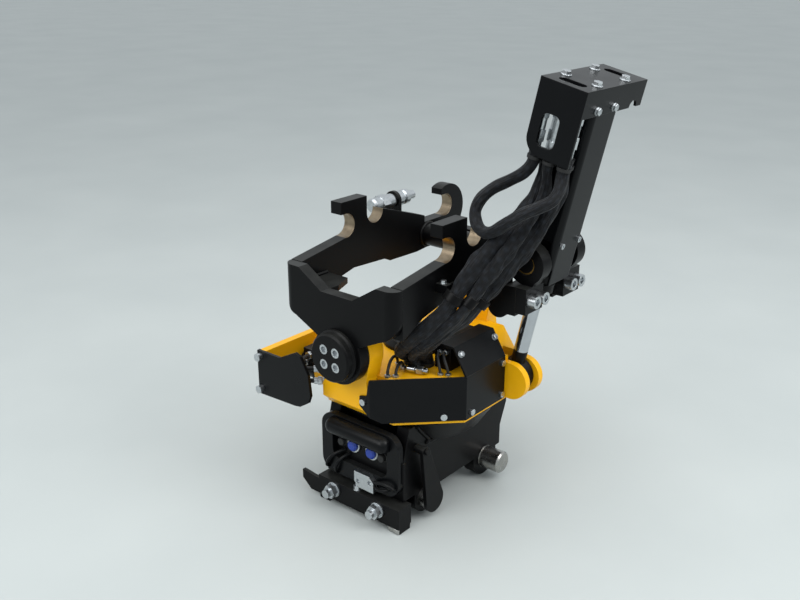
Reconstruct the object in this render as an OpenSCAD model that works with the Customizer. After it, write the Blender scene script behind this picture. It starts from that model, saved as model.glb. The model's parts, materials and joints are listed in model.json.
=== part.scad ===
// Excavator tilt rotator with a single tilt cylinder.
// The origin is on the slew axis at the level it stands on: +Z up, the tilt axis along Y,
// the cap of the tilt axle at the front (-Y) and the tilt cylinder on the right (+X).

/* [Lower pins] */
// Diameter of the two lower pins
pin_d = 60; // [50:1:70]
// Distance between the lower pins
pin_spacing = 256; // [240:1:280]
// Length of a lower pin
pin_len = 372; // [350:1:420]
// Diameter of the turned free ends of a lower pin
pin_end_d = 59; // [49:0.1:69]
// Height of the lower pins above the ground
pin_z = 51; // [46:1:60]

/* [Hitch] */
// Clear width between the hitch side plates
hitch_gap = 184; // [170:1:196]
// Thickness of a hitch side plate
hitch_plate_t = 35; // [25:1:45]
// Height of the underside of the slewing head
head_z = 200; // [185:1:215]
// Radius of the slewing head
head_r = 212; // [200:1:220]
// Width of the hose coupling box
box_w = 252; // [220:1:270]
// Front face of the hose coupling box, ahead of the slew axis
box_y = 232; // [225:1:240]
// Top of the hose coupling box
box_top = 250; // [235:1:258]

/* [Slew drive] */
// Teeth of the worm wheel
wheel_teeth = 40; // [32:1:44]
// Tooth module
gear_module = 7; // [6:0.5:7]
// Width of the worm wheel
wheel_w = 60; // [50:1:62]
// Pitch radius of the worm
worm_r = 26; // [24:1:28]
// Radius of the hydraulic swivel in the middle
swivel_r = 58; // [50:1:62]

/* [Housing] */
// Width of the housing across its flats
housing_w = 452; // [440:1:470]
// Corner that is cut off the housing, along each side
housing_cut = 120; // [115:1:126]
// Underside of the housing
housing_z = 280; // [278:1:286]
// Height of the housing
housing_h = 115; // [112:1:125]
// Thickness of the bent steel covers
cover_t = 5; // [3:0.5:8]
// Thickness of the motor guard plate
guard_t = 8; // [6:0.5:12]

/* [Tilt axle] */
// Height of the tilt axis
tilt_z = 456; // [450:1:465]
// Diameter of the tilt axle
axle_d = 90; // [70:1:96]
// Wall of the tilt bush
bush_t = 7; // [4:0.5:9]
// Thickness of a housing ear
ear_t = 38; // [30:1:42]
// Play between a housing ear and the bracket
ear_gap = 6; // [3:0.5:10]
// Diameter of the axle cap
cap_d = 118; // [112:1:124]
// Side of the square of cap bolts
cap_bolt_square = 36.5; // [32:0.5:40]

/* [Upper bracket] */
// Outer width of the bracket
bracket_w = 342; // [330:1:354]
// Thickness of a bracket side plate
bracket_t = 34; // [28:1:40]
// Thickness of the front and rear bracket plates
end_plate_t = 30; // [22:1:34]
// Diameter of the upper pin seats
seat_d = 60; // [54:1:66]

/* [Tilt cylinder] */
// Lean of the cylinder from upright, in degrees
lean = 12.8; // [11:0.1:14]
// Place of the cylinder behind the slew axis
cyl_y = 90; // [84:1:96]
// Clevis pin, right of the slew axis
clevis_x = 245; // [242:1:250]
// Height of the clevis pin
clevis_z = 336; // [332:1:340]
// Distance from the clevis pin to the trunnion
trunnion_d = 335; // [328:1:342]
// Diameter of the piston rod
rod_d = 36; // [30:1:38]
// Outer diameter of the barrel
barrel_d = 64; // [60:1:70]
// Bore of the barrel
bore_d = 50; // [46:1:54]
// Diameter of the trunnion pins
trunnion_pin_d = 40; // [34:1:46]
// Diameter of the clevis pin
clevis_pin_d = 32; // [28:1:34]
// Free play of the clevis pin in the rod eye
eye_play = 14; // [13.5:0.5:16]

/* [Tower] */
// Width of the cylinder cover from front to back
tower_w = 108; // [104:1:114]
// Depth of the cylinder cover from left to right
tower_d = 92; // [86:1:98]
// Top of the tower above the trunnion
tower_top = 424; // [415:1:435]
// Thickness of the tower sheet
tower_t = 4; // [3:0.5:6]

/* [Fits] */
// Radial play of a running fit
run_fit = 0.05; // [0.02:0.01:0.1]
// Radial play round a bolt
bolt_fit = 0.1; // [0.05:0.05:0.3]

/* [Hidden] */
$fn = 48;

black = "#1b1c1e";
yellow = "#f2a81d";
zinc = "#b9bdc2";
steel = "#8d8f92";
sleeve = "#23272e";

// Heights and reaches that follow from the driving sizes
pin_r = pin_d / 2;
pin_y = pin_spacing / 2;
hitch_in = hitch_gap / 2;
hitch_out = hitch_in + hitch_plate_t;
head_top = housing_z - 3;
housing_top = housing_z + housing_h;
half = housing_w / 2;
flat = half - housing_cut;
floor_t = 12;
roof_t = 25;
cavity_z = housing_z + floor_t;
wheel_z = cavity_z + 8;
hub_r = 110;
hub_hole_r = 118;
wheel_r = wheel_teeth * gear_module / 2;
worm_y = -(wheel_r + worm_r);
worm_z = wheel_z + wheel_w / 2;
worm_root = worm_r - 1.2 * gear_module;
worm_tip = worm_r + gear_module;
worm_shaft_r = worm_root - 2;
worm_bearing_r = 32;
worm_left = -85;
worm_right = 75;
worm_bearing_w = 18;
motor_x = -168;
motor_boss_r = 46;
flange_r = 44;
flange_t = 12;
case_r = 38;
case_l = 44;
end_r = 34;
end_l = 10;

axle_r = axle_d / 2;
ear_out = half + ear_t;
bracket_front_y = ear_out + ear_gap;
bracket_face_y = bracket_front_y + end_plate_t;
ear_r = axle_r + bush_t + 16;
ear_foot = half + flat - ear_out;
ear_waist = ear_r - 12;
side_out = bracket_w / 2;
side_in = side_out - bracket_t;
seat_r = seat_d / 2;
cap_t = 28;

ear_plate_t = 18;
ear_space = 40;
clevis_r = 47;
clevis_pin_r = clevis_pin_d / 2;
eye_wall = 15;
eye_r = clevis_pin_r + eye_play + eye_wall;
// At mid stroke the eye rides this far to one side of its pin, so that the play serves both ways
eye_shift = 12;
trunnion_x = clevis_x + trunnion_d * sin(lean) - eye_shift * cos(lean);
trunnion_z = clevis_z + trunnion_d * cos(lean) + eye_shift * sin(lean);
trunnion_r = trunnion_pin_d / 2;
barrel_r = barrel_d / 2;
rod_r = rod_d / 2;
gland_s = -62;
gland_t = 24;
barrel_end = 386;
boss_in = tower_w / 2 + 4;
boss_out = boss_in + 35;
boss_r = trunnion_r + 28;
liner_t = 4;
liner_set = 3;
pad_in = 46;
pad_out = pad_in + 72;
pad_x = trunnion_x - 6;
pad_t = 28;
pad_high = trunnion_z - boss_r - 1;
pad_low = pad_high - 62;

// Extrudes each outline of Y and Z along X
module along_x(x0, x1) {
  for (i = [0 : $children - 1]) translate([x0, 0, 0]) rotate([90, 0, 90]) linear_extrude(x1 - x0) children(i);
}

// Extrudes each outline of X and Z along Y
module along_y(y0, y1) {
  for (i = [0 : $children - 1]) translate([0, y1, 0]) rotate([90, 0, 0]) linear_extrude(y1 - y0) children(i);
}

// A round bar along X through a point of Y and Z
module bar_x(r, x0, x1, at) {
  translate([x0, at[0], at[1]]) rotate([0, 90, 0]) cylinder(r = r, h = x1 - x0);
}

// A round bar along Y through a point of X and Z
module bar_y(r, y0, y1, at) {
  translate([at[0], y1, at[1]]) rotate([90, 0, 0]) cylinder(r = r, h = y1 - y0);
}

// A ring along Y, open by its inner radius
module ring_y(r_out, r_in, y0, y1, at) {
  difference() {
    bar_y(r_out, y0, y1, at);
    bar_y(r_in, y0 - 1, y1 + 1, at);
  }
}

// A rectangle with round corners, centred on its own middle
module round_rect(w, h, r) {
  square([w - 2 * r, h], center = true);
  square([w, h - 2 * r], center = true);
  for (sx = [-1, 1], sy = [-1, 1]) translate([sx * (w / 2 - r), sy * (h / 2 - r)]) circle(r);
}

// The front copy of a shape and its mirror image at the back
module front_and_back() {
  children();
  mirror([0, 1, 0]) children();
}

// The near copy of a shape and its mirror image beyond the cylinder
module both_sides_of_cylinder() {
  children();
  translate([0, 2 * cyl_y, 0]) mirror([0, 1, 0]) children();
}

// The frame of the cylinder: its origin on the trunnion, Z up along the barrel
module on_cylinder() {
  translate([trunnion_x, cyl_y, trunnion_z]) rotate([0, lean, 0]) children();
}

// Lower hitch

flag_t = 10;
box_d = 18;
hitch_front = box_y - box_d;
hitch_rear = pin_y + 68;
hitch_flare = hitch_rear + 26;
flare_z = [pin_z + 67, pin_z + 129];
brow_z = pin_z + 131;
brow_back = 21;
lobe_wall = 12;
pin_lobe_r = pin_r + lobe_wall;
notch_z = pin_z + 21;
arch_z = pin_z + 11;
bowl_r = 168;
rim_t = 12;
plate_top = head_top - rim_t - 3;

// Outer form of the slewing head, over which the hitch plates reach up
module head_form() {
  rotate_extrude() polygon([[0, head_z], [bowl_r, head_z], [head_r, head_top - rim_t], [head_r, head_top],
    [0, head_top]]);
}

module hitch_plate(x0, x1) {
  difference() {
    along_x(x0, x1) {
      polygon([[-hitch_front, notch_z], [-hitch_front, brow_z], [-hitch_front + brow_back, plate_top],
        [hitch_flare, plate_top], [hitch_flare, flare_z[1]], [hitch_rear, flare_z[0]], [hitch_rear, arch_z],
        [-pin_y - pin_lobe_r, arch_z], [-pin_y - pin_lobe_r, notch_z]]);
      translate([-pin_y, pin_z]) circle(pin_lobe_r);
      translate([pin_y, pin_z]) circle(pin_z);
    }
    for (y = [-pin_y, pin_y]) bar_x(pin_r + bolt_fit, x0 - 1, x1 + 1, [y, pin_z]);
    head_form();
  }
}

module hitch_head() {
  color(black) rotate_extrude() polygon([[swivel_r + run_fit, head_z], [bowl_r, head_z],
    [head_r, head_top - rim_t], [head_r, head_top], [hub_r, head_top], [hub_r, wheel_z],
    [swivel_r + run_fit, wheel_z]]);
}

module hitch_plate_left() {
  color(black) hitch_plate(-hitch_out, -hitch_in);
}

module hitch_plate_right() {
  color(black) difference() {
    hitch_plate(hitch_in, hitch_out);
    flag_bolt_bar(bolt_fit, hitch_out - flag_bolt_l - 5);
  }
}

wall_in = pin_y;
wall_out = wall_in + 24;
wall_z = pin_z + 53;
front_arch_r = 36;
rear_arch_r = 48;

// Cross wall between the hitch plates, open below for a pin and a hose
module hitch_wall(y0, y1, arch_r) {
  along_y(y0, y1) difference() {
    translate([-hitch_in, wall_z]) square([hitch_gap, head_z - wall_z]);
    translate([0, wall_z]) circle(arch_r);
  }
}

module hitch_walls() {
  color(black) {
    hitch_wall(-wall_out, -wall_in, front_arch_r);
    hitch_wall(wall_in, wall_out, rear_arch_r);
  }
}

pin_end_r = pin_end_d / 2;
groove_w = 3;
groove_r = pin_end_r - 2;
pin_end_l = pin_len / 2 - hitch_out - 1 - groove_w;
pin_chamfer = 4;
// A free end of a pin, turned down and chamfered, with a groove at its shoulder
free_end = [[0, 0], [pin_end_r - pin_chamfer, 0], [pin_end_r, pin_chamfer], [pin_end_r, pin_end_l],
  [groove_r, pin_end_l], [groove_r, pin_end_l + groove_w], [pin_r, pin_end_l + groove_w]];

// A pin along X from its free left end, by its profile
module lower_pin(y, profile) {
  translate([-pin_len / 2, y, pin_z]) rotate([0, 90, 0]) rotate_extrude() polygon(profile);
}

// The flag stands off the right plate and closes the end of the front pin
flag_x = hitch_out + 21;
front_pin_l = pin_len / 2 + flag_x;

module front_pin() {
  color(steel) lower_pin(-pin_y, concat(free_end, [[pin_r, front_pin_l], [0, front_pin_l]]));
}

module rear_pin() {
  far_end = [for (i = [len(free_end) - 1 : -1 : 0]) [free_end[i][0], pin_len - free_end[i][1]]];
  color(steel) lower_pin(pin_y, concat(free_end, far_end));
}

flag_low_r = pin_r + 3;
flag_top = [-pin_y - 37, pin_z + 150];
flag_top_r = 13;
flag_post_r = 11;
flag_bolt_r = 5;
flag_head_r = 8;
flag_head_h = 7;
flag_bolt_l = 20;

module flag_bolt_bar(play, x0) {
  bar_x(flag_bolt_r + play, x0, flag_x + flag_t + 1, flag_top);
}

// Keeps the front pin from turning, bolted to the right plate over a post
module pin_flag() {
  a = atan2(flag_top[1] - pin_z, flag_top[0] + pin_y);
  side = [-sin(a), cos(a)];
  low = [-pin_y, pin_z];
  color(black) difference() {
    union() {
      along_x(flag_x, flag_x + flag_t) {
        translate(low) circle(flag_low_r);
        translate(flag_top) circle(flag_top_r);
        polygon([low + flag_low_r * side, flag_top + flag_top_r * side, flag_top - flag_top_r * side,
          low - flag_low_r * side]);
      }
      bar_x(flag_post_r, hitch_out, flag_x, flag_top);
    }
    flag_bolt_bar(bolt_fit, hitch_out - 1);
  }
}

module flag_bolts() {
  color(black) {
    bar_x(flag_head_r, flag_x + flag_t, flag_x + flag_t + flag_head_h, flag_top);
    bar_x(flag_bolt_r, hitch_out - flag_bolt_l, flag_x + flag_t, flag_top);
  }
}

// Hose coupling box at the front of the hitch
box_low = pin_z + 33;
box_mid = (box_top + box_low) / 2;
box_r = 38;
window_w = hitch_gap - 4;
window_h = box_top - box_low - 70;
window_r = 26;
window_z = box_mid + 9;
block_front = box_y - 18;
head_play = 4;
cap_x = 30;
cap_r = 15;
cap_l = 15;

// Room for the slewing head, cut out of what stands in front of it
module head_room() {
  translate([0, 0, head_z - head_play]) cylinder(r = head_r + head_play, h = housing_z - head_z);
}

module window_outline() {
  translate([0, window_z]) round_rect(window_w, window_h, window_r);
}

module coupling_box() {
  color(black) difference() {
    union() {
      along_y(-box_y, -hitch_front) translate([0, box_mid]) round_rect(box_w, box_top - box_low, box_r);
      along_y(-hitch_front, -wall_out) translate([-hitch_in, wall_z]) square([hitch_gap, head_z - wall_z]);
    }
    along_y(-box_y - 1, -wall_out + 1) window_outline();
    head_room();
  }
}

module coupling_block() {
  color(black) difference() {
    along_y(-block_front, -wall_out) window_outline();
    head_room();
  }
}

module coupling_caps() {
  color("#1f3fb5") for (s = [-1, 1]) translate([s * cap_x, -block_front, window_z]) rotate([90, 0, 0])
    rotate_extrude() polygon([[0, 0], [cap_r, 0], [cap_r, cap_l - 4], [cap_r - 4, cap_l], [0, cap_l]]);
}

manifold_x = 26;
manifold_z = box_low + 20;
manifold_w = 62;
manifold_h = 42;
manifold_t = 14;
manifold_cut = 14;
port_r = 6;

module coupling_manifold() {
  a = manifold_w / 2;
  b = manifold_h / 2;
  color(zinc) difference() {
    along_y(-box_y - manifold_t, -box_y) translate([manifold_x, manifold_z]) polygon([[-a, -b + manifold_cut],
      [-a + manifold_cut, -b], [a, -b], [a, b - manifold_cut], [a - manifold_cut, b], [-a, b]]);
    for (s = [-1, 1]) bar_y(port_r, -box_y - manifold_t - 1, -box_y - manifold_t / 2,
      [manifold_x + s * 19, manifold_z + s * 4]);
  }
}

// Cross bar low at the front, with its two long bolts and feet
bar_x0 = -128;
bar_x1 = 140;
bar_d = 48;
bar_y0 = -box_y - 16;
bar_y1 = bar_y0 + bar_d;
bar_z0 = 14;
bar_z1 = notch_z - 4;
foot_w = 34;
fin_t = 10;
fin_l = 58;
leg_t = 16;
leg_top = wall_z - 14;
leg_back = pin_y + pin_r + 4;
bar_bolt_x = 73;
bar_bolt_z = (bar_z0 + bar_z1) / 2 + 5;
bar_bolt_r = 11;
bar_head_r = 18;
bar_washer_r = 20;
bar_washer_t = 4;
bar_stub = 13;
bar_head_h = 17;
bar_bolt_end = bar_y1 - 2;

module front_bar() {
  color(black) difference() {
    union() {
      translate([bar_x0, bar_y0, bar_z0]) cube([bar_x1 - bar_x0, bar_d, bar_z1 - bar_z0]);
      for (x = [bar_x0, bar_x1 - foot_w]) translate([x, bar_y0 + 4, 0]) cube([foot_w, bar_d - 8, bar_z0]);
      along_y(bar_y0, bar_y0 + fin_t) polygon([[bar_x0 + 1, bar_z0], [bar_x0 + 1, bar_z1 - 12],
        [bar_x0 - fin_l, bar_z1 - 6], [bar_x0 - fin_l, bar_z1 - 30], [bar_x0 - fin_l / 2, bar_z0]]);
      for (x = [-hitch_in, hitch_in - leg_t]) translate([x, bar_y1 - 1, bar_z0])
        cube([leg_t, -leg_back - bar_y1 + 1, leg_top - bar_z0]);
    }
    for (s = [-1, 1]) bar_y(bar_bolt_r + bolt_fit, bar_y0 - 1, bar_bolt_end + bolt_fit,
      [s * bar_bolt_x, bar_bolt_z]);
  }
}

module bar_bolts() {
  front = bar_y0 - bar_washer_t;
  color(zinc) for (s = [-1, 1]) translate([s * bar_bolt_x, 0, bar_bolt_z]) {
    bar_y(bar_bolt_r, front - bar_head_h - bar_stub, bar_bolt_end, [0, 0]);
    bar_y(bar_washer_r, front, bar_y0, [0, 0]);
    translate([0, front, 0]) rotate([90, 0, 0]) cylinder(r = bar_head_r, h = bar_head_h, $fn = 6);
  }
}

swivel_flange_r = hitch_in - 2;
swivel_flange_t = 14;
swivel_top = housing_top + 26;

module swivel_core() {
  color(steel) {
    translate([0, 0, head_z - swivel_flange_t]) cylinder(r = swivel_flange_r, h = swivel_flange_t);
    translate([0, 0, head_z]) cylinder(r = swivel_r, h = swivel_top - head_z);
  }
}

// Slew drive

tooth_angle = 360 / wheel_teeth;
tooth_root = wheel_r - 1.2 * gear_module;
tooth_tip = wheel_r + gear_module * 0.9;

// One tooth gap and flank pair, centred on a gap
function on_circle(r, a) = [r * cos(a), r * sin(a)];
function tooth_points(i) = let (a = i * tooth_angle - 90) [
  on_circle(tooth_root, a - 0.30 * tooth_angle), on_circle(tooth_root, a + 0.24 * tooth_angle),
  on_circle(tooth_tip, a + 0.42 * tooth_angle), on_circle(tooth_tip, a + 0.58 * tooth_angle)];

module worm_wheel() {
  color(steel) translate([0, 0, wheel_z]) difference() {
    linear_extrude(wheel_w) polygon([for (i = [0 : wheel_teeth - 1]) each tooth_points(i)]);
    translate([0, 0, -1]) cylinder(r = swivel_r + run_fit, h = wheel_w + 2);
  }
}

worm_pitch = PI * gear_module;
worm_turns = 5;
thread_steps = 12;

// Radius of the worm section at a share of the turn: a thin thread with sloping flanks
function thread_r(t) = t < 0.14 ? worm_tip
  : t < 0.30 ? (worm_tip + worm_root) / 2
  : t < 0.86 ? worm_root
  : (worm_tip + worm_root) / 2;

thread_section = [for (i = [0 : thread_steps - 1]) let (t = i / thread_steps)
  on_circle(thread_r(t), 360 * t)];
thread_start = worm_turns * 180 + 61;
drive_r = 12;

module worm() {
  thread_l = worm_turns * worm_pitch;
  color(steel) translate([0, worm_y, worm_z]) rotate([0, 90, 0]) {
    translate([0, 0, -thread_l / 2]) rotate(thread_start) linear_extrude(thread_l, twist = -360 * worm_turns,
      slices = worm_turns * 10, segments = thread_steps) polygon(thread_section);
    translate([0, 0, worm_left - worm_bearing_w])
      cylinder(r = worm_shaft_r, h = worm_right - worm_left + 2 * worm_bearing_w);
    translate([0, 0, motor_x + 1]) cylinder(r = drive_r, h = worm_left - motor_x);
  }
}

module worm_bearings() {
  wall = worm_bearing_r - worm_shaft_r - 2 * run_fit;
  color(steel) for (x = [worm_left - worm_bearing_w, worm_right]) translate([x, worm_y, worm_z])
    rotate([0, 90, 0]) rotate_extrude() translate([worm_shaft_r + run_fit, 0]) square([wall, worm_bearing_w]);
}

module slew_bush() {
  color("#9a7b3c") translate([0, 0, housing_z]) rotate_extrude() translate([hub_r + run_fit, 0])
    square([hub_hole_r - hub_r - 2 * run_fit, floor_t]);
}

module slew_bearing() {
  color(steel) translate([0, 0, cavity_z]) rotate_extrude() translate([hub_hole_r + 4, 0])
    square([tooth_root - hub_hole_r - 8, wheel_z - cavity_z - run_fit]);
}

// Housing

module octagon_outline(grow) {
  a = half + grow;
  b = flat + grow * tan(22.5);
  polygon([[-b, -a], [b, -a], [a, -b], [a, b], [b, a], [-b, a], [-a, b], [-a, -b]]);
}

// The front lower corner of an ear is wider on the left
ear_left = ear_foot + 18;
ear_brow = 46;
ear_under = 34;

module housing_ear(y0, y1) {
  difference() {
    along_y(y0, y1) {
      polygon([[-ear_left, housing_z], [ear_foot, housing_z], [ear_waist, housing_top], [ear_r, tilt_z],
        [-ear_r, tilt_z], [-ear_waist, housing_top], [-ear_left, housing_top - ear_brow]]);
      translate([0, tilt_z]) circle(ear_r);
    }
    along_x(-ear_left - 1, ear_left + 1) polygon([[y0 - 1, housing_z - 1], [y0 - 1, housing_z + ear_under],
      [y0, housing_z + ear_under], [-half, housing_z], [-half, housing_z - 1]]);
  }
}

module clevis_ears() {
  back = half - 30;
  for (s = [-1, 1]) translate([0, cyl_y + s * (ear_space + ear_plate_t) / 2, 0])
    along_y(-ear_plate_t / 2, ear_plate_t / 2) {
      translate([clevis_x, clevis_z]) circle(clevis_r);
      translate([back, clevis_z - clevis_r]) square([clevis_x - back, 2 * clevis_r]);
    }
}

// The clevis pin goes in from the back and ends inside the near ear
blind_t = 6;
clevis_pin_y = cyl_y - ear_space / 2 - ear_plate_t + blind_t;

// Slot between the clevis ears in which the rod eye swings
eye_room = eye_r + eye_shift + 4;

module eye_slot() {
  along_y(cyl_y - ear_space / 2, cyl_y + ear_space / 2) {
    translate([clevis_x, clevis_z]) circle(eye_room);
    translate([clevis_x - eye_room, clevis_z]) square([2 * eye_room, housing_top - clevis_z + 1]);
  }
}

// Arm of the motor guard, out from the left flat and forward to the guard plate
guard_y = bracket_face_y + 8;
wall_x = -half - 34;
wall_t = 20;
wall_top = housing_top + 5;
guard_low = housing_z + 4;
arm_back = -60;
arm_w = 32;
guard_bolt_r = 6;
guard_bolts_at = [[wall_x + 10, wall_top - 13], [wall_x + 10, guard_low + 16]];

module guard_wall() {
  translate([wall_x, -guard_y, guard_low]) cube([wall_t, guard_y + arm_back, wall_top - guard_low]);
  translate([wall_x, arm_back - arm_w, guard_low + 14])
    cube([-half + 20 - wall_x, arm_w, wall_top - guard_low - 20]);
}

module housing() {
  color(yellow) difference() {
    union() {
      translate([0, 0, housing_z]) linear_extrude(housing_h) octagon_outline(0);
      front_and_back() housing_ear(-ear_out, -half + 10);
      clevis_ears();
      guard_wall();
      bar_x(motor_boss_r, motor_x, -flat, [worm_y, worm_z]);
    }
    translate([0, 0, housing_z - 1]) cylinder(r = hub_hole_r, h = floor_t + 2);
    translate([0, 0, cavity_z]) cylinder(r = tooth_tip + 9, h = housing_h - floor_t - roof_t);
    translate([0, 0, housing_top - roof_t - 1]) cylinder(r = swivel_r + 2, h = roof_t + 2);
    bar_x(worm_tip + 3, worm_left, worm_right, [worm_y, worm_z]);
    bar_x(worm_bearing_r, worm_left - worm_bearing_w, worm_left, [worm_y, worm_z]);
    bar_x(worm_bearing_r, worm_right, worm_right + worm_bearing_w, [worm_y, worm_z]);
    bar_x(drive_r + 4, motor_x - 1, worm_left, [worm_y, worm_z]);
    bar_x(flange_r + 3, motor_x - flange_t - case_l - end_l - 4, motor_x, [worm_y, worm_z]);
    front_and_back() bar_y(axle_r + bush_t, -ear_out - 1, -half - 1, [0, tilt_z]);
    bar_y(clevis_pin_r + run_fit, clevis_pin_y, cyl_y + 60, [clevis_x, clevis_z]);
    eye_slot();
    for (p = guard_bolts_at) bar_y(guard_bolt_r + bolt_fit, -guard_y - 1, -guard_y + 30, p);
    cover_screw_shanks(bolt_fit);
  }
}

module swivel_sleeve() {
  color(black) translate([0, 0, housing_top]) rotate_extrude() polygon([[swivel_r + run_fit, 0],
    [swivel_r + 34, 0], [swivel_r + 34, 8], [swivel_r + 22, 20], [swivel_r + run_fit, 20]]);
}

module slew_motor() {
  color(black) translate([motor_x, worm_y, worm_z]) rotate([0, -90, 0]) difference() {
    union() {
      cylinder(r = flange_r, h = flange_t);
      translate([0, 0, flange_t]) cylinder(r = case_r, h = case_l);
      translate([0, 0, flange_t + case_l]) cylinder(r = end_r, h = end_l);
      translate([10, -30, flange_t + 4]) cube([40, 36, 36]);
    }
    translate([0, 0, -1]) cylinder(r = drive_r + 1, h = 30);
  }
}

// Outline of the guard plate, with its corners away from the bolts cut and rounded
module guard_outline() {
  polygon([[wall_x, wall_top + 2], [wall_x + 78, wall_top + 2], [wall_x + 134, wall_top + 31],
    [wall_x + 152, wall_top + 25], [wall_x + 176, wall_top - 16], [wall_x + 182, guard_low + 46],
    [wall_x + 174, guard_low + 26], [wall_x + 146, guard_low + 8], [wall_x + 128, guard_low + 5],
    [wall_x, guard_low]]);
}

module guard_plate() {
  color(black) difference() {
    along_y(-guard_y - guard_t, -guard_y) guard_outline();
    for (p = guard_bolts_at) bar_y(guard_bolt_r + bolt_fit, -guard_y - guard_t - 1, -guard_y + 1, p);
  }
}

module guard_bolts() {
  color(zinc) for (p = guard_bolts_at) {
    bar_y(10, -guard_y - guard_t - 12, -guard_y - guard_t, p);
    bar_y(guard_bolt_r, -guard_y - guard_t, -guard_y + 28, p);
  }
}

module tilt_bushes() {
  color("#9a7b3c") front_and_back()
    ring_y(axle_r + bush_t - run_fit, axle_r + run_fit, -ear_out, -half - 1, [0, tilt_z]);
}

module clevis_pin() {
  far_face = cyl_y + ear_space / 2 + ear_plate_t;
  head_r = clevis_pin_r + 2;
  head_t = 4;
  color(zinc) {
    bar_y(clevis_pin_r, clevis_pin_y, far_face, [clevis_x, clevis_z]);
    bar_y(head_r, far_face, far_face + head_t, [clevis_x, clevis_z]);
  }
}

// Covers on the right of the housing
cover_low = housing_z + 8;
cover_high = housing_top + 5;
cover_left = ear_foot;
cover_back = cyl_y - ear_space / 2 - ear_plate_t - 2;
fold_x = half + cover_t;
lip_z = cover_high + 60;
lip_x = 150;
slope_x = 190;
upper_y0 = -flat - 4;

tab_l = 30;
tab_low = 40;
tab_high = 70;
cut_w = 24;

// Sheet along the front chamfer and the right flat, with a tab on the face of the front ear
module side_cover() {
  outer = flat + cover_t * tan(22.5);
  left_y = -ear_out;
  color(black) difference() {
    union() {
      translate([0, 0, cover_low]) linear_extrude(cover_high - cover_low) polygon([[cover_left, left_y],
        [half, -flat], [half, cover_back], [half + cover_t, cover_back], [half + cover_t, -outer],
        [cover_left + cover_t * tan(22.5), left_y - cover_t], [cover_left, left_y - cover_t]]);
      along_y(left_y - cover_t, left_y) polygon([[cover_left, cover_low], [cover_left, cover_high],
        [cover_left - 8, cover_low + tab_high], [cover_left - tab_l, cover_low + tab_high - 6],
        [cover_left - tab_l, cover_low + tab_low]]);
    }
    along_y(left_y - 2 * cover_t, left_y + cut_w + cover_t) polygon([[cover_left - tab_l - 1, cover_low - 1],
      [cover_left + cut_w, cover_low - 1], [cover_left - tab_l - 1, cover_low + tab_low]]);
    cover_screw_shanks(bolt_fit);
  }
}

module upper_cover() {
  color(black) along_y(upper_y0, cover_back) polygon([[half, cover_high], [fold_x, cover_high],
    [fold_x, cover_high + 2], [slope_x + 2, lip_z + cover_t], [lip_x, lip_z + cover_t], [lip_x, lip_z],
    [slope_x, lip_z]]);
}

module valve_block() {
  color(black) translate([lip_x - 22, upper_y0 + 12, housing_top])
    cube([46, cover_back - upper_y0 - 24, lip_z - housing_top]);
}

screw_r = 4;
screw_head_r = 8;
screw_head_h = 5;
screw_l = 18;
chamfer_mid = (half + flat) / 2 + 24;
diagonal = sqrt(0.5);
// Foot point on the outer face and the outward direction of each cover screw
cover_screws_at = [
  [[cover_left - 18, -ear_out - cover_t, cover_low + 52], [0, -1, 0]],
  [[chamfer_mid + cover_t * diagonal, -half - flat + chamfer_mid - cover_t * diagonal, cover_low + 12],
    [diagonal, -diagonal, 0]],
  [[half + cover_t, cover_back - 12, cover_low + 14], [1, 0, 0]],
  [[half + cover_t, cover_back - 12, cover_high - 14], [1, 0, 0]],
  [[half + cover_t, -flat + 20, cover_low + 14], [1, 0, 0]],
];

// Turns Z to a direction
module facing(p, dir) {
  translate(p) rotate([0, acos(dir[2]), atan2(dir[1], dir[0])]) children();
}

module cover_screw_shanks(play) {
  for (s = cover_screws_at) facing(s[0], s[1]) translate([0, 0, -screw_l - 2])
    cylinder(r = screw_r + play, h = screw_l + 3);
}

module cover_screws() {
  color(zinc) for (s = cover_screws_at) facing(s[0], s[1]) {
    cylinder(r = screw_head_r, h = screw_head_h);
    translate([0, 0, -screw_l]) cylinder(r = screw_r, h = screw_l);
  }
}

// Upper bracket

// The outlines of the bracket plates are drawn from the tilt axis up
front_seat = [-116, 243];
top_notch = [-10, 259];
rear_seat = [281, 216];
hammer_top = 303.5;
hammer_front = front_seat[0] - 17;
hook_r = 67;
hook_shift = [15, -12];

// A side plate with its three seats; the rear one is a hook that opens to the front
module bracket_side(x0, x1) {
  difference() {
    translate([0, 0, tilt_z]) along_x(x0, x1) {
      polygon([[-bracket_front_y, 190], [front_seat[0], front_seat[1] - seat_r], [front_seat[0], hammer_top],
        [top_notch[0] - seat_r, hammer_top], [top_notch[0] - seat_r, top_notch[1]],
        [top_notch[0] + seat_r, top_notch[1]], [180, 208], [236, 186], [rear_seat[0], rear_seat[1] - seat_r],
        [362, 204], [352, 156], [322, 124], [160, 110], [48, 113], [28, 123], [-90, 129], [-200, 104],
        [-bracket_front_y, 70]]);
      translate(rear_seat + hook_shift) circle(hook_r);
      translate([hammer_front, front_seat[1] + seat_r])
        square([front_seat[0] - hammer_front + 1, hammer_top - front_seat[1] - seat_r]);
    }
    translate([0, 0, tilt_z]) {
      for (p = [front_seat, top_notch, rear_seat]) bar_x(seat_r, x0 - 1, x1 + 1, p);
      along_x(x0 - 1, x1 + 1) {
        translate([rear_seat[0] - 90, rear_seat[1] - seat_r]) square([90, 2 * seat_r]);
        translate([rear_seat[0] - 90, rear_seat[1]]) square([72, 100]);
      }
    }
  }
}

module bracket_left() {
  color(black) bracket_side(-side_out, -side_in);
}

module bracket_right() {
  color(black) bracket_side(side_in, side_out);
}

corner_r = 50;
corner_z = 116;
shoulder_z = 189;
shoulder_x = 118;
dip_z = 145;
dip_x = 48;
hub_plate_r = axle_r + 27;
hub_neck_x = hub_plate_r - 8;
hub_neck_z = 34;

face_round = end_plate_t - 2;

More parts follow.
